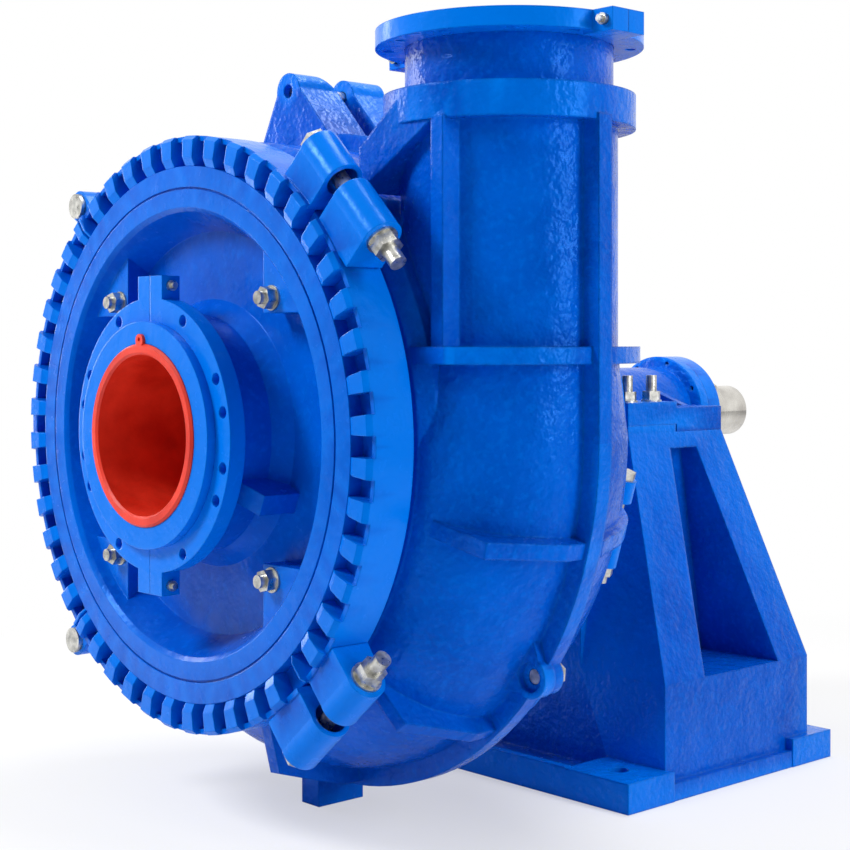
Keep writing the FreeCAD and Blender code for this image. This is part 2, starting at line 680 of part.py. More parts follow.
def make_toothed_ring():
    """The whole clamp ring before it is cut into segments."""
    body = turned("toothed_ring", [
        (d.rim_radius, d.tooth_station + d.tooth_chamfer * 0.5),
        (d.rim_radius + d.tooth_chamfer, d.tooth_station),
        (d.clamp_radius - 8, d.tooth_station),
        (d.clamp_radius, d.tooth_station + 8),
        (d.clamp_radius, d.clamp_back_station),
        (d.casing_neck_radius + 4, d.clamp_back_station),
        (d.casing_neck_radius + 4, jaw_front),
        (band_inner, jaw_front),
        (band_inner, cover_flange_front),
        (d.rim_radius, cover_flange_front),
    ])
    slot = body.newObject("PartDesign::Pocket", "slot")
    slot.Profile = outline(body, [
        (d.rim_radius - 10, d.tooth_station - 5),
        (d.clamp_radius + 5, d.tooth_station - 5),
        (d.clamp_radius + 5, d.tooth_station + d.tooth_proud),
        (band_inner, d.tooth_station + d.tooth_proud),
        (band_inner, cover_flange_front + 1),
        (d.rim_radius - 10, cover_flange_front + 1),
    ])
    slot.SideType = "Symmetric"
    bind(slot, "Length", d.tooth_slot)
    pattern = body.newObject("PartDesign::PolarPattern", "slots")
    pattern.Originals = [slot]
    pattern.Axis = (origin_plane(body, "Y_Axis"), [""])
    pattern.Angle = 360.0
    pattern.Occurrences = 48
    body.Tip = pattern
    return body


def clamp_lug(angle, start, length, back=None):
    """A lug for a clamp bolt: a barrel on the band, drawn along the ring's tangent."""
    foot = plate("lug_foot", [
        (band_inner + 1, d.tooth_station + d.tooth_proud + 2),
        (d.clamp_lug_radius, d.clamp_lug_station - d.clamp_lug_outer + 1),
        (d.clamp_lug_radius, d.clamp_lug_station + d.clamp_lug_outer - 1),
        (band_inner + 1, d.clamp_back_station - 2),
    ], length, lift=start)
    barrel = cylinder(d.clamp_lug_outer, length, "Z", d.clamp_lug_radius, d.clamp_lug_station, start)
    holder = group([foot, barrel], "Part::MultiFuse", "lug")
    holder.Placement = FreeCAD.Placement(Vector(), turned_by(angle))
    return holder


def tangent_drill(angle, start, length, radius):
    drill = cylinder(radius, length, "Z", d.clamp_lug_radius, d.clamp_lug_station, start)
    holder = group([drill])
    holder.Placement = FreeCAD.Placement(Vector(), turned_by(angle))
    return holder


def hinge_eye(angle, front, back, lean):
    """An eye for a hinge pin with its web down to the band; lean is the side that the web is on."""
    radius = d.hinge_pin_radius
    outer = d.hinge_eye_outer
    eye = cylinder(outer, back - front, y=front, x=radius)
    web = box((band_inner + 1, radius), (front, back), (0, outer) if lean > 0 else (-outer, 0))
    holder = group([eye, web], "Part::MultiFuse", "eye")
    holder.Placement = FreeCAD.Placement(Vector(), turned_by(angle))
    return holder


def make_clamp_segments():
    ring_body = make_toothed_ring()
    half_gap = d.clamp_lug_gap / 2
    length = d.clamp_lug_length
    shorter = length * 0.82
    swing = math.degrees(math.asin(d.clamp_lug_gap.value / 2 / d.clamp_radius.value))
    upper = float(d.upper_joint_angle)
    lower = float(d.lower_joint_angle)
    up_hinge = float(d.upper_hinge_angle)
    low_hinge = float(d.lower_hinge_angle)
    hole = d.clamp_bolt_diameter / 2 + 1.5
    recess = d.clamp_lug_outer - 9
    eye_middle = (d.tooth_station + d.tooth_proud + d.clamp_back_station) / 2
    eye_front = d.tooth_station + d.tooth_proud + 6
    eye_back = d.clamp_back_station - 2
    pin_drill = d.hinge_pin_diameter / 2 + 0.2
    joint = 0.35

    def segment(label, start, end, lugs, drills, pins):
        piece = common([ring_body, sector(start, end)])
        holes = drills + [drilled(d.hinge_pin_radius, a, 60, 190, pin_drill) for a in pins]
        node(label, cut(fuse([piece] + lugs), holes))

    def eye_space(angle, front, back):
        """Room for the neighbour's eye."""
        space = cylinder(d.hinge_eye_outer + 1, back - front, y=front, x=d.hinge_pin_radius)
        holder = group([space])
        holder.Placement = FreeCAD.Placement(Vector(), turned_by(angle))
        return holder

    segment("clamp_segment_right", lower + swing, upper - swing, [
        clamp_lug(upper, -half_gap - length, length),
        clamp_lug(lower, half_gap, shorter),
    ], [
        tangent_drill(upper, -half_gap - length - 1, length + 2, hole),
        tangent_drill(lower, half_gap - 1, shorter + 2, hole),
    ], [])
    segment("clamp_segment_top", upper + swing, up_hinge - joint, [
        clamp_lug(upper, half_gap, shorter),
        hinge_eye(up_hinge, eye_front, eye_middle - 0.5, -1),
    ], [
        tangent_drill(upper, half_gap - 1, shorter + 2, hole),
        tangent_drill(upper, half_gap - 1, shorter * 0.6, recess),
        eye_space(up_hinge, eye_middle - 0.5, eye_back + 6),
    ], [up_hinge])
    segment("clamp_segment_left", up_hinge + joint, low_hinge + 360 - joint, [
        hinge_eye(up_hinge, eye_middle + 0.5, eye_back, 1),
        hinge_eye(low_hinge, eye_middle + 0.5, eye_back, -1),
        box((-d.clamp_radius - 18, -d.clamp_radius + 4), (eye_front, eye_back), (-57, 41)),
    ], [
        eye_space(up_hinge, eye_front - 20, eye_middle + 0.5),
        eye_space(low_hinge, eye_front - 20, eye_middle + 0.5),
    ], [up_hinge, low_hinge])
    segment("clamp_segment_bottom", low_hinge + joint, lower - swing, [
        clamp_lug(lower, -half_gap - length, length),
        hinge_eye(low_hinge, eye_front, eye_middle - 0.5, 1),
    ], [
        tangent_drill(lower, -half_gap - length - 1, length + 2, hole),
        tangent_drill(lower, -half_gap - length * 0.6, length * 0.6 + 1, recess),
        eye_space(low_hinge, eye_middle - 0.5, eye_back + 6),
    ], [low_hinge])


def make_clamp_hardware():
    size = d.clamp_bolt_diameter
    half_gap = d.clamp_lug_gap / 2
    length = d.clamp_lug_length
    shorter = length * 0.82
    bolts = []
    nuts = []
    # upper joint: the nut is below the right segment's lug, the head sits on the top segment's lug
    # lower joint: the nut is above the right segment's lug, the head is below the bottom segment's
    for angle, nut_side, nut_face, head_face in (
            (d.upper_joint_angle, -1, half_gap + length, half_gap + shorter),
            (d.lower_joint_angle, 1, half_gap + shorter, half_gap + length)):
        bolt_end = nut_face + size * 2.0
        low = -bolt_end if nut_side < 0 else -head_face
        shank = cylinder(size / 2, bolt_end + head_face, "Z",
                         d.clamp_lug_radius, d.clamp_lug_station, low)
        head = moved(hexagon(size * 1.5, size * 0.65, "Z"), d.clamp_lug_radius,
                     d.clamp_lug_station, head_face if nut_side < 0 else -head_face - size * 0.65)
        bolt = group([shank, head], "Part::MultiFuse", "bolt")
        bolt.Placement = FreeCAD.Placement(Vector(), turned_by(angle))
        bolts.append(bolt)
        seat = -nut_face - size * 0.15 if nut_side < 0 else nut_face
        flat = moved(washer(size, "Z"), d.clamp_lug_radius, d.clamp_lug_station, seat)
        on_washer = seat - size * 0.8 if nut_side < 0 else seat + size * 0.15
        hexagon_nut = moved(nut(size, "Z"), d.clamp_lug_radius, d.clamp_lug_station, on_washer)
        pair = group([flat, hexagon_nut])
        pair.Placement = FreeCAD.Placement(Vector(), turned_by(angle))
        nuts.append(pair)
    node("clamp_bolts", group(bolts))
    node("clamp_nuts", group(nuts))
    pins = []
    head_front = d.tooth_station + d.tooth_proud + 6 - 10
    for angle in (d.upper_hinge_angle, d.lower_hinge_angle):
        shank = cylinder(d.hinge_pin_diameter / 2, d.clamp_back_station - head_front + 6,
                         y=head_front, x=d.hinge_pin_radius)
        head = cylinder(d.hinge_pin_diameter * 0.85, 10, y=head_front, x=d.hinge_pin_radius)
        pin = group([shank, head], "Part::MultiFuse", "pin")
        pin.Placement = FreeCAD.Placement(Vector(), turned_by(angle))
        pins.append(pin)
    node("clamp_hinge_pins", group(pins))


# ---------------------------------------------------------------- volute casing

def crown_points(centre, inset):
    """Points (out, across) over the casing's crown: ends and middles of its three arcs."""
    reach = float(d.crown_reach)
    half_width = float(d.volute_half_width)
    big = float(d.crown_radius)
    corner = float(d.crown_corner_radius)
    side = half_width - corner
    along = math.sqrt((big - corner) ** 2 - side ** 2)
    middle = centre + reach - big
    lean = math.atan2(side, along)
    half_lean = (lean + math.pi / 2) / 2
    across = [(middle + along, side + corner - inset)]
    for turn in (half_lean, lean):
        across.append((middle + along + (corner - inset) * math.cos(turn),
                       side + (corner - inset) * math.sin(turn)))
    front = [(out, -offset) for out, offset in across]
    return front + [(centre + reach - inset, 0.0)] + across[::-1]


def arcs_through(points):
    """Arcs through each third point and the one between."""
    return [Part.Arc(*points[i:i + 3]).toShape() for i in range(0, len(points) - 2, 2)]


def on_clock(radius, station, angle):
    """A point on the shaft line's frame from a radius, a station and a clock angle."""
    turn = math.radians(angle)
    return Vector(radius * math.cos(turn), station, radius * math.sin(turn))


def spiral_arcs():
    """The casing's wall as four tangent arcs: centre x, centre height, radius, start, end."""
    step = float(d.spiral_step)
    x = float(d.spiral_offset)
    radius = float(d.spiral_end_radius) - x
    return [
        (x, 0.0, radius, 270.0, 360.0),
        (x, -step, radius - step, 180.0, 270.0),
        (x - step, -step, radius - 2 * step, 90.0, 180.0),
        (x - step, 0.0, radius - 3 * step, float(d.tongue_angle), 90.0),
    ]


def arc_at(angle):
    """Centre x, centre height and radius of the wall's arc at a clock angle."""
    angle = angle % 360.0
    for x, height, radius, start, end in spiral_arcs():
        if start <= angle <= end:
            return x, height, radius
    raise ValueError("no wall at this angle")


def wall_at(angle):
    """Distance of the casing's wall from the shaft line at a clock angle."""
    x, height, radius = arc_at(angle)
    turn = math.radians(angle)
    along = x * math.cos(turn) + height * math.sin(turn)
    beside = height * math.cos(turn) - x * math.sin(turn)
    return along + math.sqrt(radius ** 2 - beside ** 2)


def fused(pieces):
    """Joins shapes one after the other."""
    body = pieces[0]
    for piece in pieces[1:]:
        body = body.fuse(piece)
    return body


def swept_round(profile):
    """Sweeps a face through the four arcs; profile(radius) draws it on +X of the arc's centre."""
    parts = []
    for x, height, radius, start, end in spiral_arcs():
        face = profile(radius)
        face.rotate(Vector(), SHAFT_LINE, -start)
        face.translate(Vector(x, 0, height))
        parts.append(face.revolve(Vector(x, 0, height), SHAFT_LINE, start - end))
    return parts


def crown_face(radius, inset):
    """Section of the casing's chamber, its crown at a radius, drawn in by a wall."""
    station = float(d.volute_station)
    centre = radius - float(d.crown_reach)
    points = [Vector(out, station + across, 0) for out, across in crown_points(centre, inset)]
    foot = centre - float(d.crown_foot)
    front = Vector(foot, points[0].y, 0)
    back = Vector(foot, points[-1].y, 0)
    lines = [Part.makeLine(points[-1], back), Part.makeLine(back, front),
             Part.makeLine(front, points[0])]
    return Part.Face(Part.Wire(arcs_through(points) + lines))


def level_oval(centre, inset, height):
    """The crown's outline and its mirror image as a level wire of eight edges."""
    station = float(d.volute_station)
    outline = crown_points(centre, inset)
    outer = [Vector(out, station + across, height) for out, across in outline]
    inner = [Vector(2 * centre - p.x, p.y, height) for p in outer[::-1]]
    return Part.Wire(arcs_through(outer) + [Part.makeLine(outer[-1], inner[0])]
                     + arcs_through(inner) + [Part.makeLine(inner[-1], outer[0])])


def level_circle(radius, height):
    """A level circle round the nozzle, cut into eight arcs that face those of the oval."""
    turns = (-80, -40, 40, 80, 100, 140, 220, 260, 280)
    middle = Vector(float(nozzle_offset), float(d.volute_station), height)
    points = []
    for first, second in zip(turns, turns[1:]):
        for turn in (first, (first + second) / 2):
            turn = math.radians(turn)
            points.append(middle + Vector(radius * math.cos(turn), radius * math.sin(turn), 0))
    return Part.Wire(arcs_through(points + points[:1]))


def upright(radius, low, high):
    """A cylinder on the discharge centre line between two heights."""
    foot = Vector(float(nozzle_offset), float(d.volute_station), float(low))
    return Part.makeCylinder(float(radius), float(high) - float(low), foot)


def about_shaft(corners):
    """A solid turned about the shaft line from (radius, station) corners."""
    points = [Vector(float(r), float(s), 0) for r, s in corners]
    face = Part.Face(Part.makePolygon(points + points[:1]))
    return face.revolve(Vector(), SHAFT_LINE, 360)


def across_shaft(corners, start, thickness):
    """A plate square to the shaft from (x, height) corners."""
    points = [Vector(float(x), float(start), float(z)) for x, z in corners]
    return Part.Face(Part.makePolygon(points + points[:1])).extrude(Vector(0, float(thickness), 0))


def belt_rib():
    """The rib in the casing's middle plane, round the spiral and up the nozzle."""
    half = float(d.belt_rib_thickness) / 2
    station = float(d.volute_station)
    height = float(d.belt_rib_height)

    def profile(radius):
        corners = [Vector(r, s, 0) for r, s in (
            (radius - 60, station - half), (radius + height, station - half),
            (radius + height, station + half), (radius - 60, station + half))]
        return Part.Face(Part.makePolygon(corners + corners[:1]))

    side = float(belt_radius_end)
    top = float(d.collar_bottom) + 10
    upright_part = across_shaft([
        (side - 60, -1), (side, -1), (side, top), (side - 60, top)], station - half, 2 * half)
    return swept_round(profile) + [upright_part]


def hoop_rib(angle):
    """A rib across the casing: a plate with a corner in front, following the crown behind."""
    x, height, radius = arc_at(angle)
    station = float(d.volute_station)
    width = float(d.volute_half_width) - 1
    centre = radius - float(d.crown_reach)
    foot = centre - float(d.crown_foot)
    flat = float(d.hoop_rib_flat)
    back = radius + float(d.hoop_rib_back_height)
    corners = [
        (foot, -width), (centre, -width),
        (radius - float(d.hoop_rib_shoulder_drop), -float(d.hoop_rib_shoulder)),
        (radius + float(d.hoop_rib_height), -flat), (radius + float(d.hoop_rib_height), flat / 2),
        (back - flat / 5, flat * 1.2), (foot, flat * 1.2),
    ]
    points = [Vector(out, station + across, 0) for out, across in corners]
    thick = float(d.hoop_rib_thickness)
    front_half = Part.Face(Part.makePolygon(points + points[:1])).extrude(Vector(0, 0, thick))
    behind = Part.makeBox(back, width, thick, Vector(foot, station, 0))
    back_half = crown_face(back, 1.0).extrude(Vector(0, 0, thick)).common(behind)
    rib = front_half.fuse(back_half)
    rib.translate(Vector(0, 0, -thick / 2))
    rib.rotate(Vector(), SHAFT_LINE, -angle)
    rib.translate(Vector(x, 0, height))
    return rib


def lug(radius, angle, start, length, outer):
    """An eye round a tie stud with the web that spreads from it down into the casing's wall."""
    foot = wall_at(angle) - float(d.crown_reach) / 2
    spread = outer + (radius - foot) * float(d.lug_web_ratio)
    eye = Part.makeCylinder(outer, length, Vector(radius, start, 0), SHAFT_LINE)
    web = across_shaft([(foot, -spread), (radius, -outer), (radius, outer), (foot, spread)],
                       start, length)
    for piece in (eye, web):
        piece.rotate(Vector(), SHAFT_LINE, -angle)
    return [eye, web]


def tie_places():
    """Radius and clock angle of the two lower tie studs."""
    right = float(d.tie_right_angle)
    left = float(d.tie_left_angle)
    return [(wall_at(right) + float(d.tie_right_rise), right),
            (wall_at(left) + float(d.tie_left_rise), left)]


def lifting_radius():
    """Distance of the lifting bar from the shaft line."""
    return wall_at(float(d.lifting_angle)) + float(d.lifting_rise)


def casing_lugs():
    """The lugs on the casing: two plates at each lower stud, two lugs under the lifting bar."""
    outer = float(d.tie_eye_outer)
    front = float(d.lug_station)
    plate_depth = float(d.lug_plate_thickness)
    pieces = []
    for radius, angle in tie_places():
        pieces += lug(radius, angle, front, plate_depth, outer)
        pieces += lug(radius, angle, front + plate_depth, float(d.lug_back_thickness), outer - 3)
    radius = lifting_radius()
    angle = float(d.lifting_angle)
    length = float(d.lifting_lug_length)
    chamfer = float(d.lifting_chamfer)
    top = radius + outer + 1
    end = front + length + 1
    corners = [Vector(top, end - chamfer, -outer * 2), Vector(top, end, -outer * 2),
               Vector(top - chamfer, end, -outer * 2)]
    bevel = Part.Face(Part.makePolygon(corners + corners[:1])).extrude(Vector(0, 0, outer * 4))
    bevel.rotate(Vector(), SHAFT_LINE, -angle)
    pieces.append(fused(lug(radius, angle, front, length, outer)).cut(bevel))
    pieces += lug(radius, angle, float(d.lifting_back_start), float(d.lifting_back_length), outer)
    return pieces


def lug_drills():
    """The stud holes through the lugs and the counterbores in the lower ones."""
    drills = []
    front = float(d.lug_station)
    hole = float(d.tie_stud_diameter) / 2 + 1
    deep = float(d.tie_counterbore_depth)
    for radius, angle in tie_places():
        through = Part.makeCylinder(hole, float(lug_back) - front + 2,
                                    Vector(radius, front - 1, 0), SHAFT_LINE)
        wide = Part.makeCylinder(float(d.tie_counterbore_radius), deep + 1,
                                 Vector(radius, front - 1, 0), SHAFT_LINE)
        for tool in (through, wide):
            tool.rotate(Vector(), SHAFT_LINE, -angle)
            drills.append(tool)
    end = float(d.lifting_back_start + d.lifting_back_length)
    long_drill = Part.makeCylinder(hole, end - front + 2, Vector(lifting_radius(), front - 1, 0),
                                   SHAFT_LINE)
    long_drill.rotate(Vector(), SHAFT_LINE, -float(d.lifting_angle))
    return drills + [long_drill]


def make_volute_casing():
    station = float(d.volute_station)
    width = float(d.volute_half_width)
    front = float(casing_front)
    jaw = float(jaw_front)
    shoulder = float(d.shoulder_radius)
    rear_shoulder = float(d.rear_shoulder_radius)
    chamfer = float(d.shoulder_chamfer)
    drum = about_shaft([
        (300, front), (d.cover_flange_radius, front), (d.cover_flange_radius, jaw - 1),
        (d.casing_neck_radius, jaw - 1), (d.casing_neck_radius, station - width),
        (shoulder - chamfer, station - width), (shoulder, station - width + chamfer),
        (shoulder, station), (rear_shoulder, station),
        (rear_shoulder, station + width - chamfer), (rear_shoulder - chamfer, station + width),
        (d.rear_neck_radius, station + width), (d.rear_neck_radius, 2 * station - jaw + 1),
        (d.rear_flange_radius, 2 * station - jaw + 1), (d.rear_flange_radius, casing_back),
        (300, casing_back),
    ])
    reach = float(d.crown_reach)
    centre = float(d.spiral_end_radius) - reach
    foot_of_nozzle = Part.makeLoft([
        level_oval(centre, 0.0, 0.0),
        level_circle(float(d.nozzle_radius), float(d.nozzle_start))], True, True)
    lip_low = discharge_top
    nozzle = [
        upright(d.nozzle_radius, float(d.nozzle_start) - 1, d.collar_bottom + 20),
        upright(d.collar_radius, d.collar_bottom, d.collar_bottom + d.collar_thickness),
        upright(d.discharge_neck_radius, d.collar_bottom, lip_low),
        upright(d.discharge_lip_radius, lip_low, lip_low + d.discharge_lip_height),
    ]
    ledge_low = float(d.nozzle_start) - float(d.ledge_rib_thickness)
    ledge = Part.Face(level_oval(centre, -float(d.ledge_rib_height), ledge_low)).extrude(
        Vector(0, 0, float(d.ledge_rib_thickness)))
    ledge = ledge.common(Part.makeBox(2000, 2 * width - 4, 400,
                                      Vector(-1000, station - width + 2, 0)))
    rib_x = float(nozzle_offset) + float(d.front_rib_offset)
    half_rib = float(d.front_rib_thickness) / 2
    rib_top = float(d.collar_bottom) + 5
    collar = float(d.collar_radius)
    front_rib = Part.makeBox(
        2 * half_rib, 2 * collar - 8, rib_top - ledge_low,
        Vector(rib_x - half_rib, station - collar + 4, ledge_low))
    strut = across_shaft([
        (355, 440), (355, 520), (470, float(d.collar_bottom + d.collar_thickness) - 8),
        (rib_x, float(d.collar_bottom + d.collar_thickness) - 8), (rib_x, float(d.collar_bottom)),
        (545, float(d.collar_bottom)),
    ], station - collar + 6, 2 * collar - 12)
    pieces = [drum] + swept_round(lambda radius: crown_face(radius, 0.0))
    pieces += [foot_of_nozzle, ledge, front_rib, strut] + nozzle + belt_rib()
    first = float(d.first_hoop_angle)
    pitch = float(d.hoop_rib_step_angle)
    pieces += [hoop_rib(first + pitch * i) for i in range(8)]
    pieces += casing_lugs()
    foot_top = 60 - arc_at(270)[2]
    foot = Part.makeBox(
        float(d.foot_width), float(d.foot_length), foot_top + float(d.axis_height - d.foot_gap),
        Vector(-30, station - 50, -float(d.axis_height - d.foot_gap)))
    pieces.append(foot)
    body = fused(pieces)
    wall = float(d.casing_wall)
    bore = float(d.discharge_bore) / 2
    inside = swept_round(lambda radius: crown_face(radius, wall)) + [
        about_shaft([(0, front - 1), (d.mouth_radius, front - 1), (d.mouth_radius, station),
                     (d.rear_mouth_radius, station), (d.rear_mouth_radius, casing_back + 1),
                     (0, casing_back + 1)]),
        Part.makeLoft([
            level_oval(centre, wall + 4, -3.0),
            level_circle(bore, float(d.throat_top))], True, True),
        upright(bore, d.throat_top - 1, discharge_top + d.discharge_lip_height + 1),
    ]
    for tool in inside + lug_drills():
        body = body.cut(tool)
    casing = doc.addObject("Part::Feature", "volute_casing")
    casing.Shape = body
    node("volute_casing", casing)


def make_discharge_flange():
    halves, bolts = make_split_flange(
        None, d.discharge_flange_radius, d.discharge_neck_radius + FIT,
        d.discharge_flange_thickness, d.discharge_bolt_circle_radius,
        d.discharge_hole_diameter, (75, 45, 15, -15, -45, -75), as_size(0))
    # drawn like the suction flange, then stood up on the discharge line with its split along X
    stand = Rotation(Vector(0, 0, 1), Vector(0, 1, 0), Vector(1, 0, 0), "ZXY")
    for label, thing in zip(("discharge_flange_near", "discharge_flange_far",
                             "discharge_flange_bolts"), halves + [group(bolts)]):
        thing.Label = label
        place(thing, nozzle_offset, d.volute_station - d.suction_station,
              d.axis_height + discharge_top, stand_up())
        NODES.append(thing)


def stand_up():
    """Turns a flange drawn along +Y so that it hangs down from its top face, split along X."""
    # local +Y (depth) points down, local +Z (split line) along +X, local +X along -Y
    matrix = FreeCAD.Matrix(
        0, 0, 1, 0,
        -1, 0, 0, 0,
        0, -1, 0, 0,
        0, 0, 0, 1)
    return FreeCAD.Placement(matrix).Rotation


def make_tie_studs():
    size = d.tie_stud_diameter
    start = d.lug_station + d.tie_counterbore_depth + 2
    length = lug_back + size - start
    studs = []
    nuts = []
    for radius, angle in tie_places():
        studs.append(around(cylinder(size / 2, length), radius, angle, start, ALONG["Y"]))
        nuts.append(around(nut(size), radius, angle, lug_back))
    end = d.lifting_back_start + d.lifting_back_length
    bar = cylinder(size / 2, end + size - start)
    studs.append(around(bar, lifting_radius(), d.lifting_angle, start, ALONG["Y"]))
    nuts.append(around(nut(size), lifting_radius(), d.lifting_angle, end))
    node("tie_studs", group(studs))
    node("tie_nuts", group(nuts))


# ---------------------------------------------------------------- drive side of the casing

def make_frame_plate():
    lip = frame_flange_back + d.clamp_lip_depth
    flange_front = d.bulkhead_station - d.frame_flange_thickness
    shell = turned("frame_shell", [
        (d.box_radius + FIT, back_liner_back),
        (rear_liner_radius, back_liner_back),
        (d.rear_mouth_radius - FIT, casing_back),
        (d.rear_flange_radius, casing_back),
        (d.rear_flange_radius, frame_flange_back),
        (d.rear_flange_radius - 16, frame_flange_back),
        (d.cone_radius, lip),
        (d.cone_end_radius, flange_front),
        (d.frame_flange_radius, flange_front),
        (d.frame_flange_radius, d.bulkhead_station),
        (d.frame_bore_radius, d.bulkhead_station),
        (d.frame_bore_radius, flange_front - 8),
        (d.cone_bore_radius, frame_flange_back + 10),
        (d.cone_bore_radius, casing_back - 30),
        (d.box_radius + FIT, casing_back - 30),
    ])
    drills = [drilled(d.frame_bolt_circle_radius, 45 + 90 * i, flange_front, d.bulkhead_station,
                      d.frame_bolt_diameter / 2 + 1) for i in range(4)]
    reach = d.frame_flange_radius * 2
    drills.append(box((-reach, reach), (frame_flange_back + 42, flange_front - 17),
                      (-d.gland_window_half, d.gland_window_half)))
    node("frame_plate", cut(shell, drills))


def make_rear_clamp_band():
    """The ring of the drive side clamp before it is cut into halves."""
    middle = d.volute_station * 2
    lip = frame_flange_back + d.clamp_lip_depth
    seat = frame_flange_back + FIT
    return turned("rear_ring", [
        (d.rear_clamp_radius, middle - d.clamp_back_station),
        (d.rear_clamp_radius, lip),
        (d.rear_flange_radius - 12, lip),
        (d.rear_flange_radius - 12, seat),
        (rear_band_inner, seat),
        (rear_band_inner, middle - jaw_front),
        (d.rear_neck_radius + 4, middle - jaw_front),
        (d.rear_neck_radius + 4, middle - d.clamp_back_station),
    ])


def make_wear_plates():
    node("back_liner", ring(d.box_radius + 2, rear_liner_radius, d.liner_thickness,
                            back_liner_front))


def make_stuffing_box():
    bore = d.box_bore_radius
    body = turned("box_body", [
        (d.sleeve_radius + 3, back_liner_front),
        (d.box_radius, back_liner_front),
        (d.box_radius, casing_back - 20),
        (d.box_radius + 20, casing_back - 20),
        (d.box_radius + 20, box_back - 24),
        (d.box_radius + 26, box_back - 24),
        (d.box_radius + 26, box_back),
        (bore, box_back),
        (bore, packing_front),
        (d.sleeve_radius + 3, packing_front),
    ])
    drills = [drilled(d.box_radius + 4, angle, box_back - 14, box_back + 1, 8.05)
              for angle in (30, -30, -150, 150)]
    node("stuffing_box", cut(body, drills))
    rings = []
    for i in range(6):
        packing = ring(d.sleeve_radius + d.running_gap, bore, d.packing_width,
                       packing_front + d.packing_width * i)
        if i == 2:
            node("lantern_ring", packing)
        else:
            rings.append(packing)
    node("packing_rings", group(rings))


def make_gland():
    inner = d.sleeve_radius + 1
    halves = []
    shell = turned("gland_shell", [
        (inner, gland_front), (d.box_bore_radius - FIT, gland_front),
        (d.box_bore_radius - FIT, box_back + 8), (d.box_radius + 24, box_back + 8),
        (d.box_radius + 24, box_back + 26), (inner, box_back + 26),
    ])
    drills = [drilled(d.box_radius + 4, angle, gland_front, box_back + 30, 9)
              for angle in (90, 30, -30, -90, -150, 150)]
    for label, across in (("gland_right", (0.25, 200)), ("gland_left", (-200, -0.25))):
        keep = box(across, (gland_front - 1, box_back + 40), (-200, 200))
        halves.append(node(label, cut(common([shell, keep]), drills)))
    bolts = []
    for angle in (30, -30, -150, 150):
        stud = cylinder(8, 64)
        bolts.append(around(stud, d.box_radius + 4, angle, box_back - 14, ALONG["Y"]))
        bolts.append(around(nut(16), d.box_radius + 4, angle, box_back + 26))
    node("gland_bolts", group(bolts))


# ---------------------------------------------------------------- rotor

def make_impeller():
    outer = d.impeller_radius
    eye = d.suction_bore / 2 + 2
    front_shroud_back = d.impeller_front + d.shroud_thickness
    back_shroud_front = d.impeller_back - d.shroud_thickness
    hub = turned("impeller_hub", [
        (d.shaft_nose_radius + 0.2, d.impeller_back - 145),
        (d.shaft_nose_radius + 16, d.impeller_back - 145),
        (d.shaft_nose_radius + 45, d.impeller_back - 75),
        (d.shaft_nose_radius + 100, back_shroud_front),
        (outer, back_shroud_front),
        (outer, d.impeller_back),
        (d.sleeve_radius, d.impeller_back),
        (d.sleeve_radius, d.impeller_back + 10),
        (d.shaft_nose_radius + 0.2, d.impeller_back + 10),
    ])
    front = ring(eye, outer, d.shroud_thickness, d.impeller_front)
    vanes = []
    steps = 6
    for number in range(4):
        sides = ([], [])
        for step in range(steps + 1):
            share = step / steps
            radius = 105 + (outer - 108) * share
            angle = 90 * number + 95 * share
            lean = math.radians(angle + 62)
            for side, points in zip((1, -1), sides):
                half = d.vane_thickness / 2 * side
                points.append((radius * cosine(angle) - half * math.sin(lean),
                               radius * sine(angle) + half * math.cos(lean)))
        corners = sides[0] + sides[1][::-1]
        vanes.append(slab(corners, front_shroud_back, back_shroud_front - front_shroud_back))
    keep = cylinder(outer, 400, y=d.impeller_front)
    node("impeller", fuse([hub, front, common([group(vanes), keep])]))


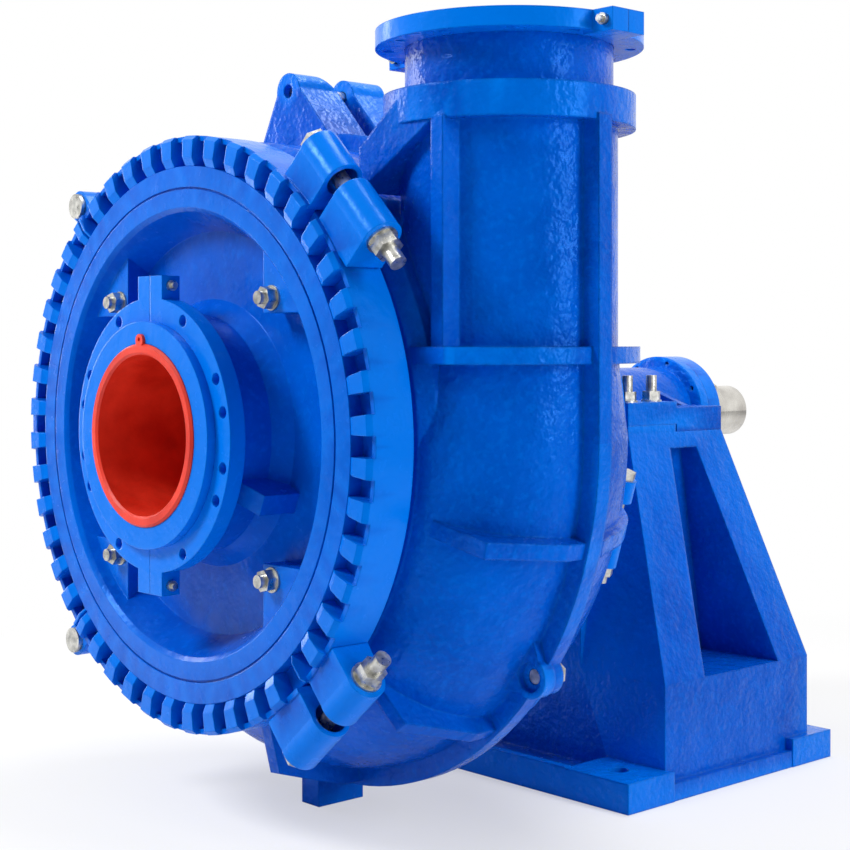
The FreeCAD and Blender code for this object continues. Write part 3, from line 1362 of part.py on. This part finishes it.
def make_shaft():
    neck = d.bearing_seat_radius - 5
    body = turned("shaft_body", [
        (0, d.impeller_back - 140),
        (d.shaft_nose_radius, d.impeller_back - 140),
        (d.shaft_nose_radius, d.impeller_back + 10),
        (neck, d.impeller_back + 10),
        (neck, d.housing_front - 12),
        (d.bearing_seat_radius, d.housing_front - 12),
        (d.bearing_seat_radius, rear_cover_back - 6),
        (d.collar_seat_radius, rear_cover_back - 6),
        (d.collar_seat_radius, rear_cover_back - 6 + d.collar_seat_length),
        (d.shaft_radius, rear_cover_back - 6 + d.collar_seat_length),
        (d.shaft_radius, d.shaft_end_station - 4),
        (d.shaft_radius - 4, d.shaft_end_station),
        (0, d.shaft_end_station),
    ])
    half = d.key_width / 2
    length = 140
    start = d.shaft_end_station - length - 12
    key_seat = d.shaft_radius - 11
    keyway = box((-half, half), (start, start + length), (key_seat, d.shaft_radius + 5))
    holder = group([keyway])
    holder.Placement = FreeCAD.Placement(Vector(), Rotation(SHAFT_LINE, -60))
    centre_drill = cylinder(5, 20, y=d.shaft_end_station - 18)
    node("shaft", cut(body, [holder, centre_drill]))
    node("shaft_sleeve", ring(neck + 0.1, d.sleeve_radius, box_back + 60 - d.impeller_back - 10,
                              d.impeller_back + 10))
    node("flinger", ring(neck + 0.1, neck + 38, 10, box_back + 62))
    collar = turned("collar", [
        (d.collar_seat_radius + 0.1, rear_cover_back + 3),
        (d.lock_collar_radius, rear_cover_back + 3),
        (d.lock_collar_radius, rear_cover_back + 28),
        (d.lock_collar_radius - 6, rear_cover_back + 36),
        (d.collar_seat_radius + 0.1, rear_cover_back + 36),
    ])
    screws = [around(cylinder(5, 14), 0, 90 + 120 * i, rear_cover_back + 16, ALONG["X"])
              for i in range(3)]
    for i, screw in enumerate(screws):
        around(screw, d.lock_collar_radius - 8, 70 + 120 * i, rear_cover_back + 16, ALONG["X"])
    node("lock_collar", cut(collar, [group([
        around(cylinder(5.2, 40), d.shaft_radius, 70 + 120 * i, rear_cover_back + 16, ALONG["X"])
        for i in range(3)])]))
    node("lock_collar_screws", group(screws))


def bearing_stations():
    return (d.housing_front + 40, d.housing_back - 40 - d.bearing_width)


def make_bearings():
    width = d.bearing_width
    seat = d.bearing_seat_radius
    inner_race = seat + 11
    outer_race = d.housing_bore_radius - 10
    roller = (outer_race - inner_race) / 2 - 0.1
    outers = []
    inners = []
    rollers = []
    for station in bearing_stations():
        outers.append(ring(outer_race, d.housing_bore_radius - 0.1, width, station))
        inners.append(ring(seat + 0.1, inner_race, width, station))
        for i in range(14):
            thing = cylinder(roller, width - 16)
            rollers.append(around(thing, (outer_race + inner_race) / 2, 360 / 14 * i,
                                  station + 8, ALONG["Y"]))
    node("bearing_outer_rings", group(outers))
    node("bearing_inner_rings", group(inners))
    node("bearing_rollers", group(rollers))


# ---------------------------------------------------------------- bearing cartridge

def make_bearing_housing():
    front = d.housing_front
    back = d.housing_back
    shell = turned("housing_shell", [
        (d.housing_bore_radius, front), (d.end_cover_radius, front), (d.end_cover_radius, front + 24),
        (d.housing_radius, front + 30), (d.housing_radius, back - 34),
        (d.end_cover_radius, back - 28), (d.end_cover_radius, back), (d.housing_bore_radius, back),
    ])
    root = d.housing_radius - 8
    ears = []
    for low, high in ((root, d.ear_reach), (-d.ear_reach, -root)):
        ears.append(box((low, high), (d.ear_front, d.ear_split),
                        (d.front_ear_bottom, d.front_ear_top)))
        ears.append(box((low, high), (d.ear_split, d.ear_back),
                        (d.rear_ear_bottom, d.rear_ear_top)))
    for side in (1, -1):
        for station in (d.ear_split - 30, d.ear_back - 30):
            ears.append(slab([(side * root * 0.6, d.housing_radius * 0.7),
                              (side * (d.ear_reach - 75), d.rear_ear_top - 5),
                              (side * root * 0.6, d.rear_ear_top - 5)], station, 22))
    lug = box((d.tower_inner - 56, d.tower_inner - 8), (d.ear_split + 84, d.ear_split + 124),
              (-100, d.rear_ear_bottom + 5))
    holes = [cylinder(d.ear_stud_diameter / 2 + d.cartridge_travel + 1, 90, "Z",
                      side * d.ear_stud_reach, station, d.front_ear_bottom - 20)
             for side in (1, -1) for station in ear_stud_stations()]
    holes.append(cylinder(10.4, 60, "Y", d.tower_inner - d.screw_inset, d.ear_split + 74, -d.screw_drop))
    holes += [drilled(d.cover_screw_circle_radius, 30 + 45 * i, back - 30, back, 6) for i in range(8)]
    holes += [drilled(d.cover_screw_circle_radius, 30 + 60 * i, front, front + 26, 6) for i in range(6)]
    bore = cylinder(d.housing_bore_radius, back - front + 2, y=front - 1)
    node("bearing_housing", cut(fuse([shell] + ears + [lug]), [bore] + holes))


def ear_stud_stations():
    return (d.ear_front + 44, d.ear_split - 40)


def make_end_covers():
    front = d.housing_front
    back = d.housing_back
    spigot = d.housing_bore_radius - FIT
    inner = d.bearing_seat_radius + 1.5
    front_bearing, back_bearing = bearing_stations()
    thick = d.end_cover_thickness
    front_cover = turned("front_end_cover", [
        (inner, front - 34), (d.end_cover_radius, front - 34), (d.end_cover_radius, front),
        (spigot, front), (spigot, front_bearing - FIT), (spigot - 12, front_bearing - FIT),
        (spigot - 12, front), (inner, front),
    ])
    node("front_bearing_cover", cut(front_cover, [
        drilled(d.cover_screw_circle_radius, 30 + 60 * i, front - 34, front, 6) for i in range(6)]))
    rear_cover = turned("rear_end_cover", [
        (spigot - 12, back_bearing + d.bearing_width + FIT),
        (spigot, back_bearing + d.bearing_width + FIT),
        (spigot, back), (d.end_cover_radius, back), (d.end_cover_radius, back + thick - 5),
        (d.end_cover_radius - 5, back + thick), (inner, back + thick), (inner, back),
        (spigot - 12, back),
    ])
    node("rear_bearing_cover", cut(rear_cover, [
        drilled(d.cover_screw_circle_radius, 30 + 45 * i, back, back + thick, 6) for i in range(8)]))
    screws = []
    for i in range(8):
        shank = cylinder(5.8, thick + 12)
        screws.append(around(shank, d.cover_screw_circle_radius, 30 + 45 * i, back - 12, ALONG["Y"]))
        head = moved(hexagon(18, 8), 0, 0, 0)
        screws.append(around(head, d.cover_screw_circle_radius, 30 + 45 * i, back + thick))
    for i in range(6):
        shank = cylinder(5.8, 54)
        screws.append(around(shank, d.cover_screw_circle_radius, 30 + 60 * i, front - 34, ALONG["Y"]))
        head = moved(hexagon(18, 8), 0, 0, 0)
        screws.append(around(head, d.cover_screw_circle_radius, 30 + 60 * i, front - 42))
    node("bearing_cover_screws", group(screws))


def make_ear_studs():
    size = d.ear_stud_diameter
    studs = []
    nuts = []
    for side in (1, -1):
        for station in ear_stud_stations():
            studs.append(cylinder(size / 2, d.front_ear_top - d.front_ear_bottom + 60 + 58, "Z",
                                  side * d.ear_stud_reach, station, d.front_ear_bottom - 60))
            nuts.append(moved(washer(size, "Z"), side * d.ear_stud_reach, station,
                              d.front_ear_top))
            nuts.append(moved(nut(size, "Z"), side * d.ear_stud_reach, station,
                              d.front_ear_top + size * 0.15))
    node("ear_studs", group(studs))
    node("ear_nuts", group(nuts))


def make_adjusting_screw():
    x = d.tower_inner - d.screw_inset
    start = d.ear_split + 84
    shank = cylinder(10, 190, "Y", x, start, -d.screw_drop)
    head = moved(hexagon(30, 14), x, start + 176, -d.screw_drop)
    node("adjusting_screw", fuse([shank, head]))
    locknut = moved(hexagon(30, 14), x, d.ear_split + 189 + FIT, -d.screw_drop)
    node("adjusting_locknut", cut(locknut, [
        cylinder(10.4, 14, "Y", x, d.ear_split + 189 + FIT, -d.screw_drop)]))


# ---------------------------------------------------------------- pedestal

def tower(side, foot, low, high):
    """One tapering side of the pedestal between two heights, standing on a wider block."""
    thing = doc.addObject("Part::Wedge", "tower")
    inner = d.tower_inner
    near = (inner, d.tower_outer) if side > 0 else (-d.tower_outer, -inner)
    top = (inner, d.ear_reach) if side > 0 else (-d.ear_reach, -inner)
    for name, value in (("Xmin", near[0]), ("Xmax", near[1]), ("X2min", top[0]), ("X2max", top[1]),
                        ("Zmin", -d.tower_back), ("Zmax", -d.tower_front),
                        ("Z2min", -d.ear_back), ("Z2max", -d.ear_front),
                        ("Ymin", low), ("Ymax", high)):
        bind(thing, name, value)
    thing.Placement = FreeCAD.Placement(Vector(), Rotation(Vector(1, 0, 0), 90))
    return thing


def make_base_frame():
    ground = -d.axis_height
    wide = d.base_half_width
    length = (d.base_front, d.base_back)
    plate_top = ground + d.base_plate_thickness
    block_top = ground + d.block_height
    pad_top = ground + d.foot_pad_thickness
    pieces = [box((-wide, wide), length, (ground, plate_top))]
    for across in ((d.foot_pad_inner, wide + 2), (-wide - 2, -d.foot_pad_inner)):
        pieces.append(box(across, (d.base_front, d.base_front + d.foot_pad_length),
                          (ground, pad_top)))
        pieces.append(box(across, (d.base_back - d.foot_pad_length, d.base_back),
                          (ground, pad_top)))
    pieces.append(box((-d.foot_pad_inner - 5, d.foot_pad_inner + 5),
                      (d.base_front, d.base_front + 20), (ground, pad_top + 2)))
    for side, across in ((1, (d.tower_inner, d.tower_outer)), (-1, (-d.tower_outer, -d.tower_inner))):
        pieces.append(box(across, (d.tower_front, d.tower_back), (plate_top - 1, block_top)))
        pieces.append(tower(side, block_top, block_top, d.rear_ear_bottom))
        top = (d.tower_inner, d.ear_reach) if side > 0 else (-d.ear_reach, -d.tower_inner)
        pieces.append(box(top, (d.ear_front, d.ear_split - d.cartridge_travel - FIT),
                          (d.rear_ear_bottom - 1, d.front_ear_bottom)))
    side = d.tower_inner + 8
    corner = d.frame_flange_radius - d.frame_bore_radius - 15
    bulkhead = slab([
        (-side, plate_top - 1), (side, plate_top - 1), (side, side - corner + 10),
        (side - corner, side + 10), (corner - side, side + 10),
        (-side, side - corner + 10),
    ], d.bulkhead_station, d.bulkhead_thickness)
    saddle_top = d.rear_ear_bottom - 20
    saddle = d.housing_radius + 18
    rear_wall = slab([
        (-side, plate_top - 1), (side, plate_top - 1), (side, saddle_top),
        (saddle, saddle_top), (saddle - 40, -d.housing_radius - 58),
        (-saddle + 40, -d.housing_radius - 58), (-saddle, saddle_top),
        (-side, saddle_top),
    ], d.rear_wall_station, d.rear_wall_thickness)
    window = [(d.window_front, block_top), (d.window_back, block_top), (d.window_top_back, -60),
              (d.window_top_front, -60)]
    tools = [plate("window", window, 300, "YZ_Plane", d.tower_inner + d.window_wall),
             plate("window", window, 300, "YZ_Plane", -d.tower_inner - d.window_wall - 300)]
    middle = (d.foot_pad_inner + wide + 2) / 2
    for side in (1, -1):
        for station in (d.base_front + d.foot_pad_length / 2, d.base_back - d.foot_pad_length / 2):
            tools.append(cylinder(d.foundation_hole_diameter / 2, d.foot_pad_thickness + 10, "Z",
                                  side * middle, station, ground - 5))
        for station in ear_stud_stations():
            tools.append(cylinder(d.ear_stud_diameter / 2 + 0.2, 100, "Z",
                                  side * d.ear_stud_reach, station, d.front_ear_bottom - 61))
    bulkhead_back = d.bulkhead_station + d.bulkhead_thickness
    tools.append(cylinder(d.frame_bore_radius, d.bulkhead_thickness + 10, y=d.bulkhead_station - 5))
    tools += [drilled(d.frame_bolt_circle_radius, 45 + 90 * i, d.bulkhead_station, bulkhead_back,
                      d.frame_bolt_diameter / 2 + 1) for i in range(4)]
    tools.append(cylinder(10.4, 60, "Y", d.tower_inner - d.screw_inset, d.ear_split + 144,
                          -d.screw_drop))
    node("base_frame", cut(fuse(pieces + [bulkhead, rear_wall]), tools))


def make_frame_bolts():
    bolts = []
    front = d.bulkhead_station - d.frame_flange_thickness
    back = d.bulkhead_station + d.bulkhead_thickness
    for i in range(4):
        shank = cylinder(d.frame_bolt_diameter / 2, back - front + 40)
        bolts.append(around(shank, d.frame_bolt_circle_radius, 45 + 90 * i, front, ALONG["Y"]))
        bolts.append(around(moved(hexagon(30, 13), 0, 0, 0), d.frame_bolt_circle_radius, 45 + 90 * i, front - 13))
        bolts.append(around(nut(d.frame_bolt_diameter), d.frame_bolt_circle_radius, 45 + 90 * i, back))
    node("frame_bolts", group(bolts))


def make_rear_clamp():
    """Two equal halves of the drive side clamp, bolted together at both joints."""
    band = make_rear_clamp_band()
    middle = d.volute_station * 2 - d.clamp_lug_station
    half_gap = d.clamp_lug_gap / 2
    head_end = half_gap + d.rear_lug_head_length
    nut_end = half_gap + d.rear_lug_length
    swing = math.degrees(math.asin(float(half_gap) / float(d.rear_clamp_radius)))
    radius = d.rear_lug_radius
    outer = d.rear_lug_outer
    size = d.rear_bolt_diameter
    first = float(d.rear_joint_angle)

    def at_joint(pieces, angle, kind="App::Part"):
        holder = group(pieces) if kind == "App::Part" else group(pieces, kind, "lug")
        holder.Placement = FreeCAD.Placement(Vector(), turned_by(angle))
        return holder

    def joint_lug(angle, start, length):
        foot = plate("lug_foot", [
            (rear_band_inner + 1, middle + outer - 2), (radius, middle + outer - 1),
            (radius, middle - outer + 1), (rear_band_inner + 1, middle - outer + 2),
        ], length, lift=start)
        barrel = cylinder(outer, length, "Z", radius, middle, start)
        return at_joint([foot, barrel], angle, "Part::MultiFuse")

    joints = (first, first + 180)
    for label, start in zip(("rear_clamp_upper", "rear_clamp_lower"), joints):
        keep = cylinder(d.rear_clamp_radius * 2, 200, sweep=180 - 2 * swing)
        keep.Placement = FreeCAD.Placement(
            Vector(0, float(middle) - 100, 0), turned_by(start + 180 - swing) * ALONG["Y"])
        lugs = [joint_lug(start, half_gap, d.rear_lug_head_length),
                joint_lug(start + 180, -nut_end, d.rear_lug_length)]
        drills = [at_joint([cylinder(size / 2 + 0.75, head_end + nut_end + 10, "Z", radius, middle,
                                     -nut_end - 5)], angle) for angle in joints]
        node(label, cut(fuse([common([band, keep])] + lugs), drills))
    bolts = []
    for angle in joints:
        shank = cylinder(size / 2, head_end + nut_end + size * 1.5, "Z", radius, middle,
                         -nut_end - size * 1.5)
        low = moved(nut(size, "Z"), radius, middle, -nut_end - size * 0.8)
        head = moved(hexagon(size * 1.5, size * 0.65, "Z"), radius, middle, head_end)
        bolts.append(at_joint([shank, low, head], angle))
    node("rear_clamp_bolts", group(bolts))


# ---------------------------------------------------------------- build

make_front_cover()
make_throat_liner()
make_cover_studs()
make_suction_flange()
make_clamp_segments()
make_clamp_hardware()
make_volute_casing()
make_discharge_flange()
make_tie_studs()
make_frame_plate()
make_rear_clamp()
make_wear_plates()
make_stuffing_box()
make_gland()
make_impeller()
make_shaft()
make_bearings()
make_bearing_housing()
make_end_covers()
make_ear_studs()
make_adjusting_screw()
make_base_frame()
make_frame_bolts()
doc.recompute()

for thing in doc.Objects:
    if "Invalid" in thing.State or "Error" in thing.State:
        raise RuntimeError(f"{thing.Label} failed: {thing.State}")
for thing in NODES:
    if thing.Shape.isNull() or not thing.Shape.isValid():
        raise RuntimeError(f"{thing.Label} is not a valid shape")

os.makedirs("parts", exist_ok=True)
for thing in NODES:
    thing.Shape.exportStep(f"parts/{thing.Label}.step")
    print(thing.Label, len(thing.Shape.Solids), round(thing.Shape.Volume / 1e6, 3))
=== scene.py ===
"""Looks of the slurry pump: enamelled castings, painted throat, plated fasteners, studio."""

import json
import math

import bpy
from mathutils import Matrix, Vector


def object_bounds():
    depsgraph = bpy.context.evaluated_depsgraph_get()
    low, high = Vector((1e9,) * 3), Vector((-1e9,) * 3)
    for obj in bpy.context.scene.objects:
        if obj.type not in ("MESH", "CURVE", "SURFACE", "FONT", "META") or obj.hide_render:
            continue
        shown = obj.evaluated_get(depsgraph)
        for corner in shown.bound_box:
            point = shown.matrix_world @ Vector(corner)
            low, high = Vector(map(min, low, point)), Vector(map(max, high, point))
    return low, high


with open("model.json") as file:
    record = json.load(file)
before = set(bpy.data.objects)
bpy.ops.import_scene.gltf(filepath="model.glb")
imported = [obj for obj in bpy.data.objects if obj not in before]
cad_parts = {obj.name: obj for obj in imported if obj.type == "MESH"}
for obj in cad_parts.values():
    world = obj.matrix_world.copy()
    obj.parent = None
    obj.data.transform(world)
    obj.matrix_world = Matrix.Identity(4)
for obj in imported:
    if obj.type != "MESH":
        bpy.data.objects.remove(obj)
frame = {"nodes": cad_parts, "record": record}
CAD_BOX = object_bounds()
NODES = frame["nodes"]

# ---------------------------------------------------------------- node helpers

class Tree:
    """A material's node tree with short names for the nodes used here."""

    def __init__(self, name):
        self.material = bpy.data.materials.new(name)
        self.material.use_nodes = True
        self.nodes = self.material.node_tree.nodes
        self.links = self.material.node_tree.links
        self.shader = self.nodes["Principled BSDF"]
        place = self.nodes.new("ShaderNodeTexCoord")
        self.place = place.outputs["Object"]

    def put(self, socket, value):
        """Links an output to a socket, or sets the socket's own value."""
        if isinstance(value, bpy.types.NodeSocket):
            self.links.new(value, socket)
        else:
            socket.default_value = value

    def set(self, **sockets):
        """Sets the shader's sockets; an underscore in a name is a space."""
        for name, value in sockets.items():
            self.put(self.shader.inputs[name.replace("_", " ")], value)

    def noise(self, size, detail=3.0, stretch=None):
        """Noise whose features are about the given size in metres."""
        node = self.nodes.new("ShaderNodeTexNoise")
        node.inputs["Scale"].default_value = 1.0 / size
        node.inputs["Detail"].default_value = detail
        place = self.place
        if stretch:
            mapping = self.nodes.new("ShaderNodeMapping")
            mapping.inputs["Scale"].default_value = stretch
            self.links.new(place, mapping.inputs["Vector"])
            place = mapping.outputs["Vector"]
        self.links.new(place, node.inputs["Vector"])
        return node.outputs["Fac"]

    def cells(self, size):
        """Distance to the nearest of many scattered points."""
        node = self.nodes.new("ShaderNodeTexVoronoi")
        node.inputs["Scale"].default_value = 1.0 / size
        self.links.new(self.place, node.inputs["Vector"])
        return node.outputs["Distance"]

    def ramp(self, factor, low, high, first=0.0, last=1.0):
        """Maps a factor between low and high onto the range from first to last."""
        node = self.nodes.new("ShaderNodeMapRange")
        node.clamp = True
        for name, value in (("From Min", low), ("From Max", high),
                            ("To Min", first), ("To Max", last)):
            node.inputs[name].default_value = value
        self.links.new(factor, node.inputs["Value"])
        return node.outputs["Result"]

    def math(self, operation, first, second):
        """One arithmetic step."""
        node = self.nodes.new("ShaderNodeMath")
        node.operation = operation
        self.put(node.inputs[0], first)
        self.put(node.inputs[1], second)
        return node.outputs[0]

    def mix(self, factor, first, second):
        """Mixes two colours."""
        node = self.nodes.new("ShaderNodeMix")
        node.data_type = "RGBA"
        self.put(node.inputs[0], factor)
        self.put(node.inputs[6], first)
        self.put(node.inputs[7], second)
        return node.outputs[2]

    def bump(self, height, depth, normal=None):
        """Raises the surface by up to depth metres where height is 1."""
        node = self.nodes.new("ShaderNodeBump")
        node.inputs["Strength"].default_value = 1.0
        node.inputs["Distance"].default_value = depth
        self.links.new(height, node.inputs["Height"])
        if normal is not None:
            self.links.new(normal, node.inputs["Normal"])
        return node.outputs["Normal"]

    def rounded(self, radius):
        """A normal that rounds sharp edges by a radius."""
        node = self.nodes.new("ShaderNodeBevel")
        node.samples = 6
        node.inputs["Radius"].default_value = radius
        return node.outputs["Normal"]

    def edge_highlight(self, low, high):
        """1 along outer edges, 0 elsewhere: the mask for a painted edge highlight."""
        node = self.nodes.new("ShaderNodeNewGeometry")
        return self.ramp(node.outputs["Pointiness"], low, high)


def rgb(red, green, blue):
    """A linear colour from one written in sRGB, 0 to 255."""
    def linear(value):
        value /= 255.0
        return value / 12.92 if value <= 0.04045 else ((value + 0.055) / 1.055) ** 2.4
    return (linear(red), linear(green), linear(blue), 1.0)


# ---------------------------------------------------------------- materials

BLUE = rgb(0, 92, 206)
DEEP_BLUE = rgb(0, 76, 184)
PALE_BLUE = rgb(0, 116, 228)


def enamel(name, lump, grain, edge):
    """Thick blue enamel; lump and grain are the depths of the casting's skin, in metres."""
    t = Tree(name)
    colour = t.mix(t.ramp(t.noise(0.16, 4.0), 0.35, 0.65), DEEP_BLUE, BLUE)
    colour = t.mix(t.ramp(t.noise(0.012, 2.0), 0.5, 0.8, 0.0, 0.4), colour, PALE_BLUE)
    # painted highlight: paler blue along outer edges, standing in for light catching the edges
    colour = t.mix(t.edge_highlight(0.52, 0.60), colour, PALE_BLUE)
    spots = t.ramp(t.cells(0.09), 0.0, 0.02, 1.0, 0.0)
    chance = t.ramp(t.noise(0.05, 1.0), 0.62, 0.64, 0.0, 0.7)
    colour = t.mix(t.math("MULTIPLY", spots, chance), colour, rgb(0, 22, 62))
    normal = t.bump(t.noise(0.060, 2.0), lump, normal=t.rounded(edge))
    normal = t.bump(t.noise(0.011, 1.0), grain, normal=normal)
    t.set(Base_Color=colour, Roughness=t.ramp(t.noise(0.03, 3.0), 0.3, 0.7, 0.17, 0.30),
          Normal=normal, IOR=1.45, Specular_IOR_Level=0.36, Specular_Tint=rgb(30, 150, 255))
    return t.material


def throat_paint():
    """Satin orange-red paint on the throat liner."""
    t = Tree("throat_paint")
    colour = t.mix(t.ramp(t.noise(0.08, 4.0), 0.35, 0.65), rgb(206, 40, 22), rgb(236, 60, 38))
    normal = t.bump(t.noise(0.006, 3.0), 0.0004)
    t.set(Base_Color=colour, Roughness=t.ramp(t.noise(0.03), 0.3, 0.7, 0.35, 0.5),
          Normal=normal, IOR=1.4)
    return t.material


def zinc_plate():
    """Zinc plated steel, a little dull, with fine scratches and smears."""
    t = Tree("zinc_plate")
    colour = t.mix(t.ramp(t.noise(0.015, 4.0), 0.35, 0.65), rgb(150, 150, 146),
                   rgb(205, 204, 198))
    normal = t.bump(t.noise(0.002, 2.0), 0.0001)
    t.set(Base_Color=colour, Metallic=1.0, Normal=normal,
          Roughness=t.ramp(t.noise(0.01, 4.0), 0.3, 0.7, 0.24, 0.42))
    return t.material


def turned_steel():
    """Bright steel with fine turning marks round the shaft."""
    t = Tree("turned_steel")
    marks = t.noise(0.0012, 2.0, stretch=(0.02, 1.0, 0.02))
    colour = t.mix(t.ramp(t.noise(0.05, 3.0), 0.3, 0.7), rgb(186, 182, 176), rgb(222, 219, 212))
    t.set(Base_Color=colour, Metallic=1.0, Normal=t.bump(marks, 0.0001),
          Roughness=t.ramp(marks, 0.3, 0.7, 0.2, 0.36))
    return t.material


def bare_iron():
    """Bare hard iron, dark and rough."""
    t = Tree("bare_iron")
    colour = t.mix(t.ramp(t.noise(0.02, 5.0), 0.35, 0.65), rgb(58, 54, 52), rgb(92, 88, 84))
    t.set(Base_Color=colour, Metallic=0.6, Normal=t.bump(t.noise(0.008, 4.0), 0.0008),
          Roughness=t.ramp(t.noise(0.01, 4.0), 0.3, 0.7, 0.45, 0.65))
    return t.material


def plain(name, dark, light, metallic, low, high, size=0.01):
    """A simple two-tone material."""
    t = Tree(name)
    t.set(Base_Color=t.mix(t.ramp(t.noise(size, 4.0), 0.35, 0.65), dark, light),
          Metallic=metallic, Normal=t.bump(t.noise(size / 3), 0.0002),
          Roughness=t.ramp(t.noise(size), 0.3, 0.7, low, high))
    return t.material


MATERIALS = {
    "casting_enamel": enamel("casting_enamel", 0.0060, 0.0018, 0.007),
    "smooth_enamel": enamel("smooth_enamel", 0.0020, 0.00045, 0.003),
    "throat_enamel": throat_paint(),
    "zinc": zinc_plate(),
    "white_iron": bare_iron(),
    "machined_steel": turned_steel(),
    "bearing_steel": plain("bearing_steel", rgb(160, 160, 162), rgb(200, 200, 204), 1.0, 0.12, 0.2),
    "packing": plain("braided_packing", rgb(60, 54, 44), rgb(92, 84, 70), 0.0, 0.7, 0.9, 0.004),
    "lantern_brass": plain("lantern_brass", rgb(170, 128, 62), rgb(205, 164, 92), 1.0, 0.25, 0.4),
    "flinger_rubber": plain("flinger_rubber", rgb(20, 20, 21), rgb(34, 34, 35), 0.0, 0.5, 0.7),
}


def dress_nodes():
    """Gives every CAD node the material of its slot."""
    for part in frame["record"]["subparts"]:
        node = NODES[part["node"]]
        node.data.materials.clear()
        node.data.materials.append(MATERIALS[part["material_slot"]])


dress_nodes()


# ---------------------------------------------------------------- studio

CAMERA_AT = (2.61435, -2.83195, 0.93088)
CAMERA_HEADING = 47.686
CAMERA_LENS = 69.88
CAMERA_SHIFT = -0.0962
FLOOR_REACH = 14.0
FADE_FROM = 0.5
FADE_TO = 2.2
FADE_AT_PUMP = 0.45
WORLD_LEVEL = 0.20
TARGET = (0.1, -0.4, 0.8)


def make_camera():
    """A level camera at the height of the clamp ring, shifted down."""
    data = bpy.data.cameras.new("camera")
    data.sensor_width = 36.0
    data.lens = CAMERA_LENS
    data.shift_y = CAMERA_SHIFT
    camera = bpy.data.objects.new("camera", data)
    camera.location = CAMERA_AT
    camera.rotation_euler = (math.radians(90), 0, math.radians(CAMERA_HEADING))
    bpy.context.scene.collection.objects.link(camera)
    bpy.context.scene.camera = camera


def softbox(name, at, towards, width, height, power):
    """A rectangular lamp at a place, turned towards another."""
    data = bpy.data.lights.new(name, "AREA")
    data.shape = "RECTANGLE"
    data.size = width
    data.size_y = height
    data.energy = power
    lamp = bpy.data.objects.new(name, data)
    lamp.location = at
    lamp.rotation_euler = (Vector(towards) - Vector(at)).to_track_quat("-Z", "Y").to_euler()
    bpy.context.scene.collection.objects.link(lamp)


def make_world():
    """White where the camera, metal or glass sees it, a plain level for everything else."""
    world = bpy.data.worlds.new("studio")
    world.use_nodes = True
    bpy.context.scene.world = world
    nodes = world.node_tree.nodes
    links = world.node_tree.links
    links.new(seen_white(nodes, links, WORLD_LEVEL), nodes["Background"].inputs["Strength"])
    nodes["Background"].inputs["Color"].default_value = (1, 1, 1, 1)


def seen_white(nodes, links, level):
    """1 for camera, glossy and transmission rays, and a level for all others."""
    rays = nodes.new("ShaderNodeLightPath")
    white = rays.outputs["Is Camera Ray"]
    for name in ("Is Glossy Ray", "Is Transmission Ray"):
        either = nodes.new("ShaderNodeMath")
        either.operation = "MAXIMUM"
        links.new(white, either.inputs[0])
        links.new(rays.outputs[name], either.inputs[1])
        white = either.outputs[0]
    share = nodes.new("ShaderNodeMapRange")
    share.inputs["To Min"].default_value = level
    links.new(white, share.inputs["Value"])
    return share.outputs["Result"]


def make_floor():
    """A wide pale floor under the base."""
    low = CAD_BOX[0].z - 0.0005
    mesh = bpy.data.meshes.new("floor")
    reach = FLOOR_REACH
    corners = [(-reach, -reach, low), (reach, -reach, low), (reach, reach, low), (-reach, reach, low)]
    mesh.from_pydata(corners, [], [(0, 1, 2, 3)])
    floor = bpy.data.objects.new("floor", mesh)
    bpy.context.scene.collection.objects.link(floor)
    material = bpy.data.materials.new("floor_paper")
    material.use_nodes = True
    nodes = material.node_tree.nodes
    links = material.node_tree.links
    shader = nodes["Principled BSDF"]
    shader.inputs["Base Color"].default_value = (0.93, 0.93, 0.93, 1)
    shader.inputs["Roughness"].default_value = 0.9
    place = nodes.new("ShaderNodeTexCoord")
    from_pump = nodes.new("ShaderNodeVectorMath")
    from_pump.operation = "LENGTH"
    links.new(place.outputs["Object"], from_pump.inputs[0])
    rays = nodes.new("ShaderNodeLightPath")
    near = nodes.new("ShaderNodeMapRange")
    near.inputs["From Min"].default_value = FADE_FROM
    near.inputs["From Max"].default_value = FADE_TO
    near.inputs["To Min"].default_value = FADE_AT_PUMP
    links.new(from_pump.outputs["Value"], near.inputs["Value"])
    fade = nodes.new("ShaderNodeMath")
    fade.operation = "MULTIPLY"
    links.new(near.outputs["Result"], fade.inputs[0])
    links.new(rays.outputs["Is Camera Ray"], fade.inputs[1])
    paper = nodes.new("ShaderNodeEmission")
    mixed = nodes.new("ShaderNodeMixShader")
    links.new(fade.outputs[0], mixed.inputs[0])
    links.new(shader.outputs[0], mixed.inputs[1])
    links.new(paper.outputs[0], mixed.inputs[2])
    links.new(mixed.outputs[0], nodes["Material Output"].inputs["Surface"])
    mesh.materials.append(material)


make_camera()
make_world()
make_floor()
softbox("key", (-1.6, -4.4, 4.0), TARGET, 1.4, 1.4, 215)
softbox("side", (4.8, 0.4, 2.2), TARGET, 0.9, 3.0, 120)
softbox("top", (0.3, 0.4, 4.6), TARGET, 2.0, 2.0, 120)
softbox("left", (-4.0, -1.6, 1.6), TARGET, 0.9, 2.8, 45)

scene = bpy.context.scene
scene.view_settings.view_transform = "Standard"
